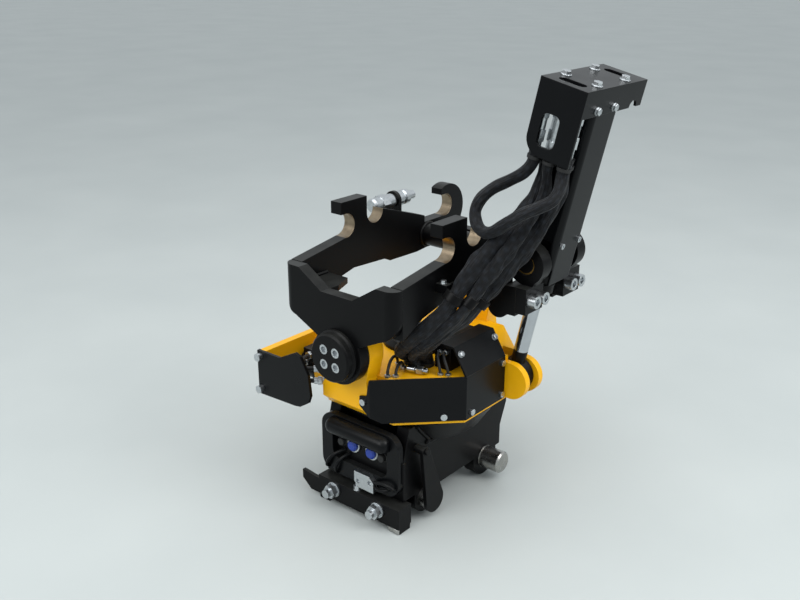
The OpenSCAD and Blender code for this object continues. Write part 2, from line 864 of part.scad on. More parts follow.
// Rounds the upright outer edge of the front plate
module face_corner() {
  translate([side_out - face_round, -bracket_face_y + face_round, tilt_z]) difference() {
    translate([0, -face_round - 1, 0]) cube([face_round + 1, face_round + 1, shoulder_z + 1]);
    translate([0, 0, -1]) cylinder(r = face_round, h = shoulder_z + 3);
  }
}

module bracket_front() {
  color(black) difference() {
    translate([0, 0, tilt_z]) along_y(-bracket_face_y, -bracket_front_y) {
      polygon([[-side_out, shoulder_z], [-shoulder_x, shoulder_z], [-dip_x, dip_z], [dip_x, dip_z],
        [shoulder_x, shoulder_z], [side_out, shoulder_z], [side_out, corner_z], [side_out - 39, 67],
        [hub_neck_x, hub_neck_z], [-hub_neck_x, hub_neck_z], [-side_out + 39, 67], [-side_out, corner_z]]);
      translate([-side_out + corner_r, corner_z]) circle(corner_r);
      translate([side_out - corner_r, corner_z]) circle(corner_r);
      circle(hub_plate_r);
    }
    bar_y(axle_r + run_fit, -bracket_face_y - 1, -bracket_front_y + 1, [0, tilt_z]);
    for (s = [0, 1]) mirror([s, 0, 0]) face_corner();
  }
}

rear_top = 164;
rear_low = 119;

module bracket_rear() {
  color(black) difference() {
    translate([0, 0, tilt_z]) along_y(bracket_front_y, bracket_face_y) {
      polygon([[-side_in, rear_top], [side_in, rear_top], [side_in, rear_low], [hub_neck_x, hub_neck_z],
        [-hub_neck_x, hub_neck_z], [-side_in, rear_low]]);
      circle(hub_plate_r);
    }
    bar_y(axle_r + run_fit, bracket_front_y - 1, bracket_face_y + 1, [0, tilt_z]);
  }
}

gusset_z = tilt_z + 128;
gusset_t = 14;
gusset_l = 86;

module bracket_gussets() {
  back = -bracket_front_y + gusset_l;
  color(black) for (s = [0, 1]) mirror([s, 0, 0]) translate([0, 0, gusset_z])
    linear_extrude(gusset_t) polygon([[side_in, -bracket_front_y], [52, -bracket_front_y],
      [52, back - 52], [72, back], [side_in, back]]);
}

tube_at = [205, tilt_z + 150];
tube_r = 30;
tube_wall = 8;

module cross_tube() {
  color(black) difference() {
    bar_x(tube_r, -side_in, side_in, tube_at);
    bar_x(tube_r - tube_wall, -side_in - 1, side_in + 1, tube_at);
  }
}

cap_bolts_at = [for (sx = [-1, 1], sz = [-1, 1]) [0, tilt_z] + cap_bolt_square / 2 * [sx, sz]];
cap_bolt_r = 8;
cap_head_r = 12;
cap_head_h = 16;
cap_key_r = 8;

module cap_bolt_shanks(play, y0, y1) {
  for (p = cap_bolts_at) bar_y(cap_bolt_r + play, y0, y1, p);
}

module tilt_axles() {
  color(steel) front_and_back() difference() {
    bar_y(axle_r, -bracket_face_y, -half - 4, [0, tilt_z]);
    cap_bolt_shanks(bolt_fit, -bracket_face_y - 1, -bracket_face_y + 42);
  }
}

module axle_caps() {
  color(black) front_and_back() difference() {
    translate([0, -bracket_face_y, tilt_z]) rotate([90, 0, 0]) rotate_extrude() polygon([[0, 0],
      [cap_d / 2 + 4, 0], [cap_d / 2 + 4, 7], [cap_d / 2, 10], [cap_d / 2, cap_t - 4], [cap_d / 2 - 4, cap_t],
      [0, cap_t]]);
    cap_bolt_shanks(bolt_fit, -bracket_face_y - cap_t - 1, -bracket_face_y + 1);
    for (p = cap_bolts_at) bar_y(cap_head_r + 0.5, -bracket_face_y - cap_t - 1,
      -bracket_face_y - cap_t + cap_head_h, p);
  }
}

module cap_bolts() {
  head_y = -bracket_face_y - cap_t + cap_head_h;
  color(zinc) front_and_back() for (p = cap_bolts_at) difference() {
    union() {
      bar_y(cap_head_r, head_y - cap_head_h + 1, head_y, p);
      bar_y(cap_bolt_r, head_y, -bracket_face_y + 40, p);
    }
    translate([p[0], head_y - cap_head_h + 9, p[1]]) rotate([90, 0, 0])
      cylinder(r = cap_key_r, h = 10, $fn = 6);
  }
}

// Outrigger that carries the tilt cylinder

arm_t = 30;
arm_out = cyl_y - pad_out;
root_t = 14;
root_low = tilt_z + 134;
root_high = tilt_z + 196;
lobe_at = [pad_x - 47, pad_low + 6];
lobe_r = 28;

module outrigger() {
  color(black) difference() {
    union() {
      translate([side_out, arm_out, root_low]) cube([root_t, 2 * pad_out, root_high - root_low]);
      both_sides_of_cylinder() {
        along_y(arm_out, arm_out + arm_t) {
          polygon([[side_out + root_t - 4, root_low + 2], [side_out + root_t - 4, root_high],
            [pad_x - pad_t, pad_high + 10], [pad_x - pad_t, pad_low], [pad_x - 52, pad_low - 4]]);
          translate(lobe_at) circle(lobe_r);
        }
        translate([pad_x - pad_t, arm_out, pad_low - 8])
          cube([pad_t, pad_out - pad_in, pad_high - pad_low + 8]);
      }
    }
    trunnion_bolt_bars(bolt_fit, pad_x - pad_t - 1);
  }
}

trunnion_bolt_r = 10;
trunnion_head_r = 15;
trunnion_head_h = 20;
trunnion_key_r = 9;
trunnion_bolt_z = (pad_low + pad_high) / 2;
pad_mid = cyl_y - (pad_in + pad_out) / 2;
// Places along Y of the bolts, two in each pad
trunnion_bolts_y = [for (s = [-1, 1]) each [pad_mid + 1 + 18 * s, 2 * cyl_y - pad_mid - 1 - 18 * s]];

module trunnion_bolt_bars(play, x0) {
  for (y = trunnion_bolts_y) bar_x(trunnion_bolt_r + play, x0, pad_x + pad_t + 1, [y, trunnion_bolt_z]);
}

module trunnion_blocks() {
  color(black) both_sides_of_cylinder() difference() {
    union() {
      along_y(cyl_y - boss_out, cyl_y - boss_in) {
        translate([trunnion_x, trunnion_z]) circle(boss_r);
        polygon([[pad_x, pad_high], [pad_x, trunnion_z - 40], [trunnion_x - boss_r + 2, trunnion_z - 10],
          [trunnion_x + boss_r - 2, trunnion_z - 10], [pad_x + pad_t, pad_high]]);
      }
      translate([pad_x, arm_out, pad_low]) cube([pad_t, pad_out - pad_in, pad_high - pad_low]);
    }
    bar_y(trunnion_r + liner_t, cyl_y - boss_out - 1, cyl_y - boss_in + 1, [trunnion_x, trunnion_z]);
    trunnion_bolt_bars(bolt_fit, pad_x - 1);
  }
}

module trunnion_bushes() {
  color("#9a7b3c") both_sides_of_cylinder() ring_y(trunnion_r + liner_t - run_fit, trunnion_r + run_fit,
    cyl_y - boss_out + liner_set, cyl_y - boss_in - liner_set, [trunnion_x, trunnion_z]);
}

module trunnion_bolts() {
  face = pad_x + pad_t;
  color(zinc) for (y = trunnion_bolts_y) difference() {
    union() {
      bar_x(trunnion_bolt_r, pad_x - pad_t, face, [y, trunnion_bolt_z]);
      bar_x(trunnion_head_r, face, face + trunnion_head_h, [y, trunnion_bolt_z]);
    }
    translate([face + trunnion_head_h / 2, y, trunnion_bolt_z]) rotate([0, 90, 0])
      cylinder(r = trunnion_key_r, h = trunnion_head_h, $fn = 6);
  }
}

// Loose end of a hydraulic line parked behind the left plate
coupling_at = [-side_out - 24, tilt_z + 250];
coupling_y = 40;
neck_y = coupling_y + 85;
coupling_neck_r = 16;

module quick_coupling() {
  color(zinc) translate([coupling_at[0], coupling_y, coupling_at[1]]) rotate([-90, 0, 0]) {
    rotate_extrude() polygon([[0, 0], [15, 0], [19, 6], [19, 78], [coupling_neck_r, 84],
      [coupling_neck_r, 96], [21, 98], [21, 112], [16, 114], [16, 124], [20, 126], [20, 140], [12, 142],
      [12, 168], [0, 168]]);
    translate([0, 0, 30]) cylinder(r = 23, h = 26, $fn = 6);
  }
}

module coupling_holder() {
  holder_t = 10;
  holder_r = 24;
  foot_z = tilt_z + 184;
  color(black) difference() {
    union() {
      translate([-side_out - 44, neck_y, foot_z]) cube([44, holder_t, coupling_at[1] - foot_z - 6]);
      along_y(neck_y, neck_y + holder_t) translate(coupling_at) circle(holder_r);
    }
    bar_y(coupling_neck_r + bolt_fit, neck_y - 1, neck_y + holder_t + 1, coupling_at);
  }
}

// Hydraulic hoses in textile sleeves
hose_r = 18;
loop_r = 15;
hose_fit = 1.5;
hose_gap = 0.3;
// Place and radius of each hose fitting under the tower head
fittings_at = [[-22, -74, 16], [22, -74, 16], [-38, -106, 12], [38, -106, 12]];
fitting_low = 263;

function at_cylinder(p) = [trunnion_x + p[0] * cos(lean) + p[2] * sin(lean), cyl_y + p[1],
  trunnion_z - p[0] * sin(lean) + p[2] * cos(lean)];
hose_tops = [for (f = fittings_at) at_cylinder([f[0], f[1], fitting_low - hose_gap])];
clamp_at = [[side_out + 45, -146, tilt_z + 148], [side_out + 76, -90, tilt_z + 134]];
hose_feet = [[72, -118, housing_top], [108, -104, housing_top]];

// Route from one end to the other; each bend has a share of the way and an offset from the straight line
function hang(a, b, bends) = concat([a], [for (k = bends) a + k[0] * (b - a) + [k[1], k[2], k[3]]], [b]);

upper_routes = [
  hang(hose_tops[0], clamp_at[0], [[0, -7, 0, -31], [0.19, 12, 20, -9], [0.32, 20, 19, -11],
    [0.45, 17, 12, -11], [0.6, 14, 8, -5], [0.73, 7, 3, -3], [1, 17, 22, 40]]),
  hang(hose_tops[1], clamp_at[1], [[0, -7, 0, -31], [0.2, 17, 17, -10], [0.33, 21, 18, -11],
    [0.47, 20, 17, -11], [0.6, 15, 12, -11], [0.73, 11, 7, -6], [1, 24, 22, 38]]),
];
loop_route = hang(hose_tops[2], hose_tops[3], [[0, -6, 0, -26], [0.11, -33, -4, -48], [0.17, -64, -16, -65],
  [0.25, -101, -30, -84], [0.32, -130, -44, -109], [0.38, -143, -54, -136], [0.44, -133, -66, -161],
  [0.5, -110, -78, -170], [0.57, -81, -86, -157], [0.64, -54, -84, -131], [0.71, -29, -70, -108],
  [0.78, -9, -54, -93], [0.84, 4, -32, -78], [0.89, 3, -12, -57], [1, -6, 0, -26]]);
lower_routes = [
  hang(clamp_at[0], hose_feet[0], [[0, -17, -22, -40], [0.31, 2, -51, -7], [0.46, -10, -62, -8],
    [0.59, -21, -61, -9], [0.71, -28, -48, -6], [0.82, -24, -25, -2], [1, 0, 0, 22]]),
  hang(clamp_at[1], hose_feet[1], [[0, -24, -22, -38], [0.35, -2, -45, 2], [0.5, -10, -55, 2],
    [0.63, -18, -53, 1], [0.74, -23, -40, 2], [0.84, -20, -20, 6], [1, 0, 0, 22]]),
];
// How much wider than deep a sleeve lies at each point of its route
upper_spread = [1, 1, 1.05, 1.1, 1.1, 1.2, 1.5, 1.25, 1];
lower_spread = [1, 1.2, 1.35, 1.25, 1.2, 1.1, 1, 1, 1];
// Direction in which the sleeves lie side by side, at the tower and at the bracket
row_high = [1, 0, -0.2];
row_low = [0.49, 0.87, -0.09];

function unit(v) = v / norm(v);
function dir_at(pts, i) = unit(pts[min(i + 1, len(pts) - 1)] - pts[max(i - 1, 0)]);
function across(d, row) = unit(row - (row * d) * d);

// A sleeve swept along a route, ring by ring
module hose(pts, r, spread, row_0, row_1, sides = 12) {
  n = len(pts);
  rings = [for (i = [0 : n - 1]) let (d = dir_at(pts, i), t = i / (n - 1),
    u = across(d, (1 - t) * row_0 + t * row_1), v = cross(d, u))
    for (k = [0 : sides - 1]) let (a = 360 * k / sides) pts[i] + r * (spread[i] * cos(a) * u + sin(a) * v)];
  walls = [for (i = [0 : n - 2], k = [0 : sides - 1]) let (a = i * sides + k, b = i * sides + (k + 1) % sides)
    each [[a, a + sides, b], [b, a + sides, b + sides]]];
  first_end = [for (k = [0 : sides - 1]) k];
  last_end = [for (k = [sides - 1 : -1 : 0]) (n - 1) * sides + k];
  polyhedron(rings, concat(walls, [first_end, last_end]));
}

module hoses_upper() {
  color(sleeve) for (route = upper_routes) hose(route, hose_r, upper_spread, row_high, row_low);
}

module hose_loop() {
  round = [for (p = loop_route) 1];
  color(sleeve) hose(loop_route, loop_r, round, [0, 1, 0.2], [0, 1, 0.2]);
}

module hoses_lower() {
  color(sleeve) for (route = lower_routes) hose(route, hose_r, lower_spread, row_low, row_low);
}

ring_t = 6;
ring_l = 20;
arm_lift = 18;

// Clamp rings round the hoses where they cross the right bracket plate, each on an arm from the plate
module hose_clamp() {
  color(black) for (route = lower_routes) difference() {
    along = dir_at(route, 0);
    p = route[0];
    union() {
      facing(p, along) cylinder(r = hose_r + ring_t, h = ring_l, center = true);
      translate([side_out, p[1] - ring_l / 2, p[2] + arm_lift - ring_l / 2])
        cube([p[0] - hose_r + 4 - side_out, ring_l, ring_l]);
    }
    facing(p, along) cylinder(r = hose_r + hose_fit, h = 4 * ring_l, center = true);
  }
}

// Tilt cylinder

module barrel() {
  color(black) on_cylinder() difference() {
    union() {
      translate([0, 0, gland_s]) cylinder(r = barrel_r, h = barrel_end - gland_s);
      translate([0, 0, -26]) cylinder(r = barrel_r + 9, h = 52);
      bar_y(trunnion_r, -boss_out + 1, boss_out - 1, [0, 0]);
      bar_y(trunnion_r + 6, -boss_in + 2, boss_in - 2, [0, 0]);
    }
    translate([0, 0, gland_s - 1]) cylinder(d = bore_d, h = barrel_end - gland_s + 2);
  }
}

module gland() {
  color(black) on_cylinder() difference() {
    union() {
      translate([0, 0, gland_s - gland_t]) cylinder(r = barrel_r + 4, h = gland_t);
      translate([0, 0, gland_s]) cylinder(r = bore_d / 2 - run_fit, h = 16);
    }
    translate([0, 0, gland_s - gland_t - 1]) cylinder(r = rod_r + run_fit, h = gland_t + 20);
  }
}

module barrel_cap() {
  color(black) on_cylinder() translate([0, 0, barrel_end]) cylinder(r = barrel_r + 4, h = 14);
}

neck_r = ear_space / 2 - 2;
neck_end = 74;
piston_at = 432;
piston_l = 38;

module rod_eye() {
  color(black) on_cylinder() translate([0, 0, -trunnion_d]) difference() {
    union() {
      bar_y(eye_r, -ear_space / 2 + 3, ear_space / 2 - 3, [0, 0]);
      cylinder(r = neck_r, h = neck_end);
    }
    bar_y(clevis_pin_r + eye_play, -30, 30, [0, 0]);
    translate([0, 0, neck_end - 20]) cylinder(r = rod_r - 4 + bolt_fit, h = 30);
  }
}

module piston_rod() {
  color("#d5d8dc") on_cylinder() translate([0, 0, -trunnion_d]) {
    translate([0, 0, neck_end]) cylinder(r = rod_r, h = piston_at - neck_end);
    translate([0, 0, neck_end - 20]) cylinder(r = rod_r - 4, h = 20);
    translate([0, 0, piston_at]) cylinder(r = bore_d / 2 - run_fit, h = piston_l);
  }
}

// Tower round the cylinder

cover_bottom = -48;
skirt_x = 30;
skirt_h = 108;
plate_t = 8;
cover_top = tower_top - plate_t;

module tower_cover() {
  color(black) on_cylinder() difference() {
    translate([0, 0, cover_bottom]) linear_extrude(cover_top - cover_bottom) difference() {
      round_rect(tower_d, tower_w, 14);
      round_rect(tower_d - 2 * tower_t, tower_w - 2 * tower_t, 10);
    }
    translate([-tower_d, -tower_w, cover_bottom - 1]) cube([tower_d + skirt_x, 2 * tower_w, skirt_h]);
    for (y = [-tower_w, pad_in - 2]) translate([0, y, cover_bottom - 1])
      cube([tower_d, tower_w - pad_in + 2, -cover_bottom - 6]);
  }
}

module tower_frames() {
  color(black) on_cylinder() for (s = [96, 330]) translate([0, 0, s]) linear_extrude(12) difference() {
    round_rect(tower_d - 2 * tower_t, tower_w - 2 * tower_t, 10);
    circle(barrel_r + bolt_fit);
  }
}

head_front = 128;
head_back = 131;
head_half = 57;
flange_h = 58;
flange_wall = 6;
front_low = fitting_low - 4;
front_corner = 40;
kidney_y = 94;
window_at = [-10, 319];
flange_notch_r = 16;

module tower_head() {
  color(black) on_cylinder() difference() {
    union() {
      translate([-head_half, -head_front, cover_top]) cube([2 * head_half, head_front + head_back, plate_t]);
      for (x = [-head_half, head_half - flange_wall]) translate([x, -head_front, tower_top - flange_h])
        cube([flange_wall, head_front + head_back, flange_h]);
      along_y(-head_front, -head_front + flange_wall) difference() {
        union() {
          translate([-head_half, front_low + front_corner])
            square([2 * head_half, tower_top - front_low - front_corner]);
          translate([-head_half + front_corner, front_low]) square([2 * head_half - front_corner, 60]);
          translate([-head_half + front_corner, front_low + front_corner]) circle(front_corner);
        }
        translate(window_at) round_rect(44, 73, 14);
      }
    }
    for (y = [-kidney_y, kidney_y]) translate([0, y, cover_top - 1]) linear_extrude(plate_t + 2)
      round_rect(64, 26, 12.9);
    bar_x(flange_notch_r, -head_half - 1, head_half + 1, [head_back - 38, tower_top - flange_h]);
    tower_bolt_bars(bolt_fit);
  }
}

tower_bolts_at = [for (sx = [-1, 1], sy = [-1, 1]) [sx * 38, sy * 60]];

module tower_bolt_bars(play) {
  for (p = tower_bolts_at) translate([p[0], p[1], cover_top - 6]) cylinder(r = 6 + play, h = plate_t + 7);
}

module tower_bolts() {
  color(zinc) on_cylinder() {
    for (p = tower_bolts_at) translate([p[0], p[1], 0]) {
      translate([0, 0, tower_top]) cylinder(r = 12, h = 2);
      translate([0, 0, tower_top + 2]) cylinder(r = 10, h = 8, $fn = 6);
      translate([0, 0, cover_top]) cylinder(r = 6, h = plate_t);
    }
  }
}

module tower_fittings() {
  color(zinc) on_cylinder() for (f = fittings_at) translate([f[0], f[1], 0]) {
    translate([0, 0, fitting_low]) cylinder(r = f[2] - 4, h = cover_top - fitting_low);
    translate([0, 0, fitting_low + 24]) cylinder(r = f[2], h = 26, $fn = 6);
    translate([0, 0, fitting_low + 76]) cylinder(r = f[2] - 1, h = 20, $fn = 6);
  }
}

hitch_head();
hitch_plate_left();
hitch_plate_right();
hitch_walls();
front_pin();
rear_pin();
pin_flag();
flag_bolts();
coupling_box();
coupling_block();
coupling_caps();
coupling_manifold();
front_bar();
bar_bolts();
swivel_core();
worm_wheel();
housing();
slew_bush();
slew_bearing();
swivel_sleeve();
worm_bearings();
slew_motor();
guard_plate();
guard_bolts();
tilt_bushes();
clevis_pin();
valve_block();
side_cover();
upper_cover();
cover_screws();
worm();
bracket_left();
bracket_right();
bracket_front();
bracket_rear();
bracket_gussets();
cross_tube();
tilt_axles();
axle_caps();
cap_bolts();
outrigger();
trunnion_blocks();
trunnion_bushes();
trunnion_bolts();
quick_coupling();
coupling_holder();
hose_clamp();
hoses_lower();
hoses_upper();
hose_loop();
barrel();
gland();
barrel_cap();
tower_frames();
tower_cover();
tower_head();
tower_bolts();
tower_fittings();
piston_rod();
rod_eye();
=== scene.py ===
"""Tilt rotator for an excavator: finishes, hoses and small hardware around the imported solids."""

import json
import math

import bmesh
import bpy
from mathutils import Matrix, Vector


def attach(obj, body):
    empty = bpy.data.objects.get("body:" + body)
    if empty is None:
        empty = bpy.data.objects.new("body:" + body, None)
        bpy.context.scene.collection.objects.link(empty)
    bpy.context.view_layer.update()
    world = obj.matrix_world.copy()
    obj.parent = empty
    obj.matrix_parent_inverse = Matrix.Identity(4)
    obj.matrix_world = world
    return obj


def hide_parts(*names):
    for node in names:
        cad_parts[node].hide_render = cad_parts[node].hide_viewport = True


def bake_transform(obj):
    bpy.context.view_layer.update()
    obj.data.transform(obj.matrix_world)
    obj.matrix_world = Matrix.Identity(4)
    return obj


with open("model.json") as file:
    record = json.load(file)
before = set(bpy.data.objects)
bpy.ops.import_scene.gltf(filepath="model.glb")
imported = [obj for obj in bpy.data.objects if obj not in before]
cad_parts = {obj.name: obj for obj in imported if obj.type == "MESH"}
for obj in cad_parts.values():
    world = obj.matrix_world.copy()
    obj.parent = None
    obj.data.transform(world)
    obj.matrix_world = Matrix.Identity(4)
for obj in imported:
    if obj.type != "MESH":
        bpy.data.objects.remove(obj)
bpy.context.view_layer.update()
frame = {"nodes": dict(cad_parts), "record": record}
MM = 0.001
# Edges that turn more than this stay sharp in the shading
SHARP_EDGE = math.radians(40)


# Small helpers


def srgb(code):
    """Linear RGBA of an sRGB hex colour."""
    parts = [int(code[i : i + 2], 16) / 255 for i in (1, 3, 5)]
    return [c / 12.92 if c <= 0.04045 else ((c + 0.055) / 1.055) ** 2.4 for c in parts] + [1.0]


def add(mat, kind, inputs=None, **settings):
    """Adds one shader node with its settings, and links or sets its inputs."""
    made = mat.node_tree.nodes.new(kind)
    for key, value in settings.items():
        setattr(made, key, value)
    for key, value in (inputs or {}).items():
        socket = made.inputs[key]
        if isinstance(value, bpy.types.NodeSocket):
            mat.node_tree.links.new(value, socket)
        else:
            socket.default_value = value
    return made


def new_material(name):
    """An empty node material and its Principled shader, already linked to the output."""
    mat = bpy.data.materials.new(name)
    mat.use_nodes = True
    mat.node_tree.nodes.clear()
    shader = add(mat, "ShaderNodeBsdfPrincipled")
    out = add(mat, "ShaderNodeOutputMaterial", {"Surface": shader.outputs["BSDF"]})
    out.is_active_output = True
    return mat, shader


def per_mm(size):
    """Texture scale at which one feature is about size millimetres across."""
    return 1 / (size * MM)


def link(mat, shader, socket, value):
    """Feeds a shader's socket from another node."""
    mat.node_tree.links.new(value, shader.inputs[socket])


def place(name, bm, body, material):
    """Makes a piece from a bmesh whose place is already in its vertices, and lets it ride."""
    mesh = bpy.data.meshes.new(name)
    bm.to_mesh(mesh)
    bm.free()
    for face in mesh.polygons:
        face.use_smooth = True
    mesh.set_sharp_from_angle(angle=SHARP_EDGE)
    obj = bpy.data.objects.new(name, mesh)
    bpy.context.scene.collection.objects.link(obj)
    obj.data.materials.append(material)
    if body:
        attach(obj, body)
    return obj


# Materials


# Rounding that edges show: painted ones, and those of bare metal and mouldings
PAINT_EDGE = 2.2 * MM
FINE_EDGE = 0.8 * MM
# How far roughness wanders either way of a paint's own value
PAINT_SHEEN = 0.07
# A band wave turns this many radians in one unit of its scale
WAVE_RADIANS = 20
# Millimetres of pin in which the turning marks turn one radian, so they lie 10 mm apart.
# They are drawn far coarser than real feed lines so that they show.
TURNING_MM = 1.6
# Bare steel reaches this far past the radius of a pin seat
SEAT_MARGIN = 0.4 * MM


def coated(
    name, dark, light, rough, peel_mm, peel_depth, edge_wear_and_highlight_colour, edge_wear_and_highlight_share, dust_and_top_light_colour, dust_and_top_light_share, gloss
):
    """Paint on steel: cloudy tone, fine orange peel, paler edges (thin paint and a painted highlight) and
    faces that look up mixed toward another tone (dust and painted top light).
    """
    mat, shader = new_material(name)
    where = add(mat, "ShaderNodeTexCoord").outputs["Object"]
    cloud = add(mat, "ShaderNodeTexNoise", {"Vector": where, "Scale": per_mm(90), "Detail": 6.0})
    tone = add(
        mat,
        "ShaderNodeMix",
        {"Factor": cloud.outputs["Fac"], "A": srgb(dark), "B": srgb(light)},
        data_type="RGBA",
    )

    # Edges: where the rounded normal leaves the face's own normal. They are mixed toward a paler colour,
    # partly thin worn paint and partly a painted highlight.
    geometry = add(mat, "ShaderNodeNewGeometry")
    rounded = add(mat, "ShaderNodeBevel", {"Radius": PAINT_EDGE}, samples=4)
    meet = add(
        mat,
        "ShaderNodeVectorMath",
        {0: rounded.outputs["Normal"], 1: geometry.outputs["Normal"]},
        operation="DOT_PRODUCT",
    )
    edge_breakup = add(mat, "ShaderNodeTexNoise", {"Vector": where, "Scale": per_mm(14), "Detail": 4.0})
    edge = add(
        mat,
        "ShaderNodeMapRange",
        {"Value": meet.outputs["Value"], "From Min": 0.995, "From Max": 0.9, "To Max": edge_wear_and_highlight_share},
    )
    worn_and_highlit_edge = add(
        mat, "ShaderNodeMath", {0: edge.outputs["Result"], 1: edge_breakup.outputs["Fac"]}, operation="MULTIPLY"
    )
    edged = add(
        mat,
        "ShaderNodeMix",
        {"Factor": worn_and_highlit_edge.outputs["Value"], "A": tone.outputs["Result"], "B": srgb(edge_wear_and_highlight_colour)},
        data_type="RGBA",
    )

    # Faces that look up are mixed toward another tone: partly dust, partly painted light, which lightens the
    # tops of black paint as if they caught the roof's light.
    split = add(mat, "ShaderNodeSeparateXYZ", {"Vector": geometry.outputs["Normal"]})
    faces_up = add(
        mat, "ShaderNodeMapRange", {"Value": split.outputs["Z"], "From Min": 0.3, "To Max": dust_and_top_light_share}
    )
    patch_noise = add(mat, "ShaderNodeTexNoise", {"Vector": where, "Scale": per_mm(35), "Detail": 8.0})
    dust_and_top_light_mask = add(
        mat, "ShaderNodeMath", {0: faces_up.outputs["Result"], 1: patch_noise.outputs["Fac"]}, operation="MULTIPLY"
    )
    with_dust_and_top_light = add(
        mat,
        "ShaderNodeMix",
        {"Factor": dust_and_top_light_mask.outputs["Value"], "A": edged.outputs["Result"], "B": srgb(dust_and_top_light_colour)},
        data_type="RGBA",
    )
    link(mat, shader, "Base Color", with_dust_and_top_light.outputs["Result"])

    sheen = add(
        mat,
        "ShaderNodeMapRange",
        {"Value": cloud.outputs["Fac"], "To Min": rough - PAINT_SHEEN, "To Max": rough + PAINT_SHEEN},
    )
    link(mat, shader, "Roughness", sheen.outputs["Result"])
    peel = add(mat, "ShaderNodeTexNoise", {"Vector": where, "Scale": per_mm(peel_mm), "Detail": 2.0})
    bump = add(
        mat,
        "ShaderNodeBump",
        {
            "Height": peel.outputs["Fac"],
            "Distance": peel_depth * MM,
            "Strength": 0.5,
            "Normal": rounded.outputs["Normal"],
        },
    )
    link(mat, shader, "Normal", bump.outputs["Normal"])
    shader.inputs["Specular IOR Level"].default_value = gloss
    return mat, shader, with_dust_and_top_light


# Its paler grey on edges and on faces that look up is partly wear and dust, partly painted highlight and
# painted top light.
BLACK_COAT = {
    "dark": "#060607",
    "light": "#0b0b0c",
    "rough": 0.34,
    "peel_mm": 5,
    "peel_depth": 0.10,
    "edge_wear_and_highlight_colour": "#242425",
    "edge_wear_and_highlight_share": 0.5,
    "dust_and_top_light_colour": "#454643",
    "dust_and_top_light_share": 0.5,
    "gloss": 0.12,
}
# Satin black two pack paint, sprayed on welded plate: almost black, with broad soft reflections
SATIN_BLACK = coated("satin_black_paint", **BLACK_COAT)[0]
# Powder coat on folded sheet: a little smoother and greyer than the sprayed plates
# Its paler grey edges and tops are partly wear and dust, partly painted highlight and painted top light.
POWDER_BLACK = coated(
    "black_powder_coat",
    dark="#07080a",
    light="#0c0d0f",
    rough=0.30,
    peel_mm=3,
    peel_depth=0.06,
    edge_wear_and_highlight_colour="#262627",
    edge_wear_and_highlight_share=0.4,
    dust_and_top_light_colour="#3c3d3b",
    dust_and_top_light_share=0.4,
    gloss=0.14,
)[0]
# Yellow machine paint over a sand casting: strong warm yellow, slightly wavy, semi gloss
# Its paler yellow edges are a painted highlight; the duller tone on faces that look up is dust.
CAST_YELLOW = coated(
    "yellow_paint_on_casting",
    dark="#f0ac0a",
    light="#f8ba12",
    rough=0.34,
    peel_mm=7,
    peel_depth=0.35,
    edge_wear_and_highlight_colour="#ffd25a",
    edge_wear_and_highlight_share=0.25,
    dust_and_top_light_colour="#dfae2c",
    dust_and_top_light_share=0.1,
    gloss=0.22,
)[0]


def metal(name, dark, light, rough, grain_mm, axis=None):
    """Bare or plated metal: blotchy tone, and turning marks along an axis where one is given."""
    mat, shader = new_material(name)
    where = add(mat, "ShaderNodeTexCoord").outputs["Object"]
    blotch = add(mat, "ShaderNodeTexNoise", {"Vector": where, "Scale": per_mm(grain_mm), "Detail": 5.0})
    tone = add(
        mat,
        "ShaderNodeMix",
        {"Factor": blotch.outputs["Fac"], "A": srgb(dark), "B": srgb(light)},
        data_type="RGBA",
    )
    link(mat, shader, "Base Color", tone.outputs["Result"])
    sheen = add(
        mat,
        "ShaderNodeMapRange",
        {"Value": blotch.outputs["Fac"], "To Min": rough - 0.08, "To Max": rough + 0.10},
    )
    link(mat, shader, "Roughness", sheen.outputs["Result"])
    normal = add(mat, "ShaderNodeBevel", {"Radius": FINE_EDGE}, samples=4).outputs["Normal"]
    if axis:
        marks = add(
            mat,
            "ShaderNodeTexWave",
            {"Vector": where, "Scale": per_mm(TURNING_MM) / WAVE_RADIANS, "Distortion": 0.4, "Detail": 1.0},
            wave_type="BANDS",
            bands_direction=axis,
        )
        bump = add(
            mat,
            "ShaderNodeBump",
            {"Height": marks.outputs["Fac"], "Distance": 0.04 * MM, "Strength": 0.35, "Normal": normal},
        )
        normal = bump.outputs["Normal"]
    link(mat, shader, "Normal", normal)
    shader.inputs["Metallic"].default_value = 1.0
    return mat


# Bright zinc plating on screws and fittings: pale, slightly blue, soft sparkle
ZINC = metal("bright_zinc_plate", "#a9adb0", "#d2d6d8", 0.30, 6)
# Turned steel of the hitch pins: bare, a little oily, with turning marks along the pin
TURNED_STEEL = metal("turned_bare_steel", "#8b8a87", "#c2c1bd", 0.26, 18, axis="X")
# Inner steel of the drive, oiled and grey
DRIVE_STEEL = metal("oiled_drive_steel", "#5b5b5c", "#87888a", 0.36, 12)
# Hard chrome on the piston rod: mirror smooth
HARD_CHROME = metal("hard_chrome", "#a4a8ad", "#c3c7cb", 0.12, 40)
# Cast bronze of the bushes: warm and dull
BRONZE = metal("cast_bronze", "#8a6a34", "#b08a4a", 0.38, 10)


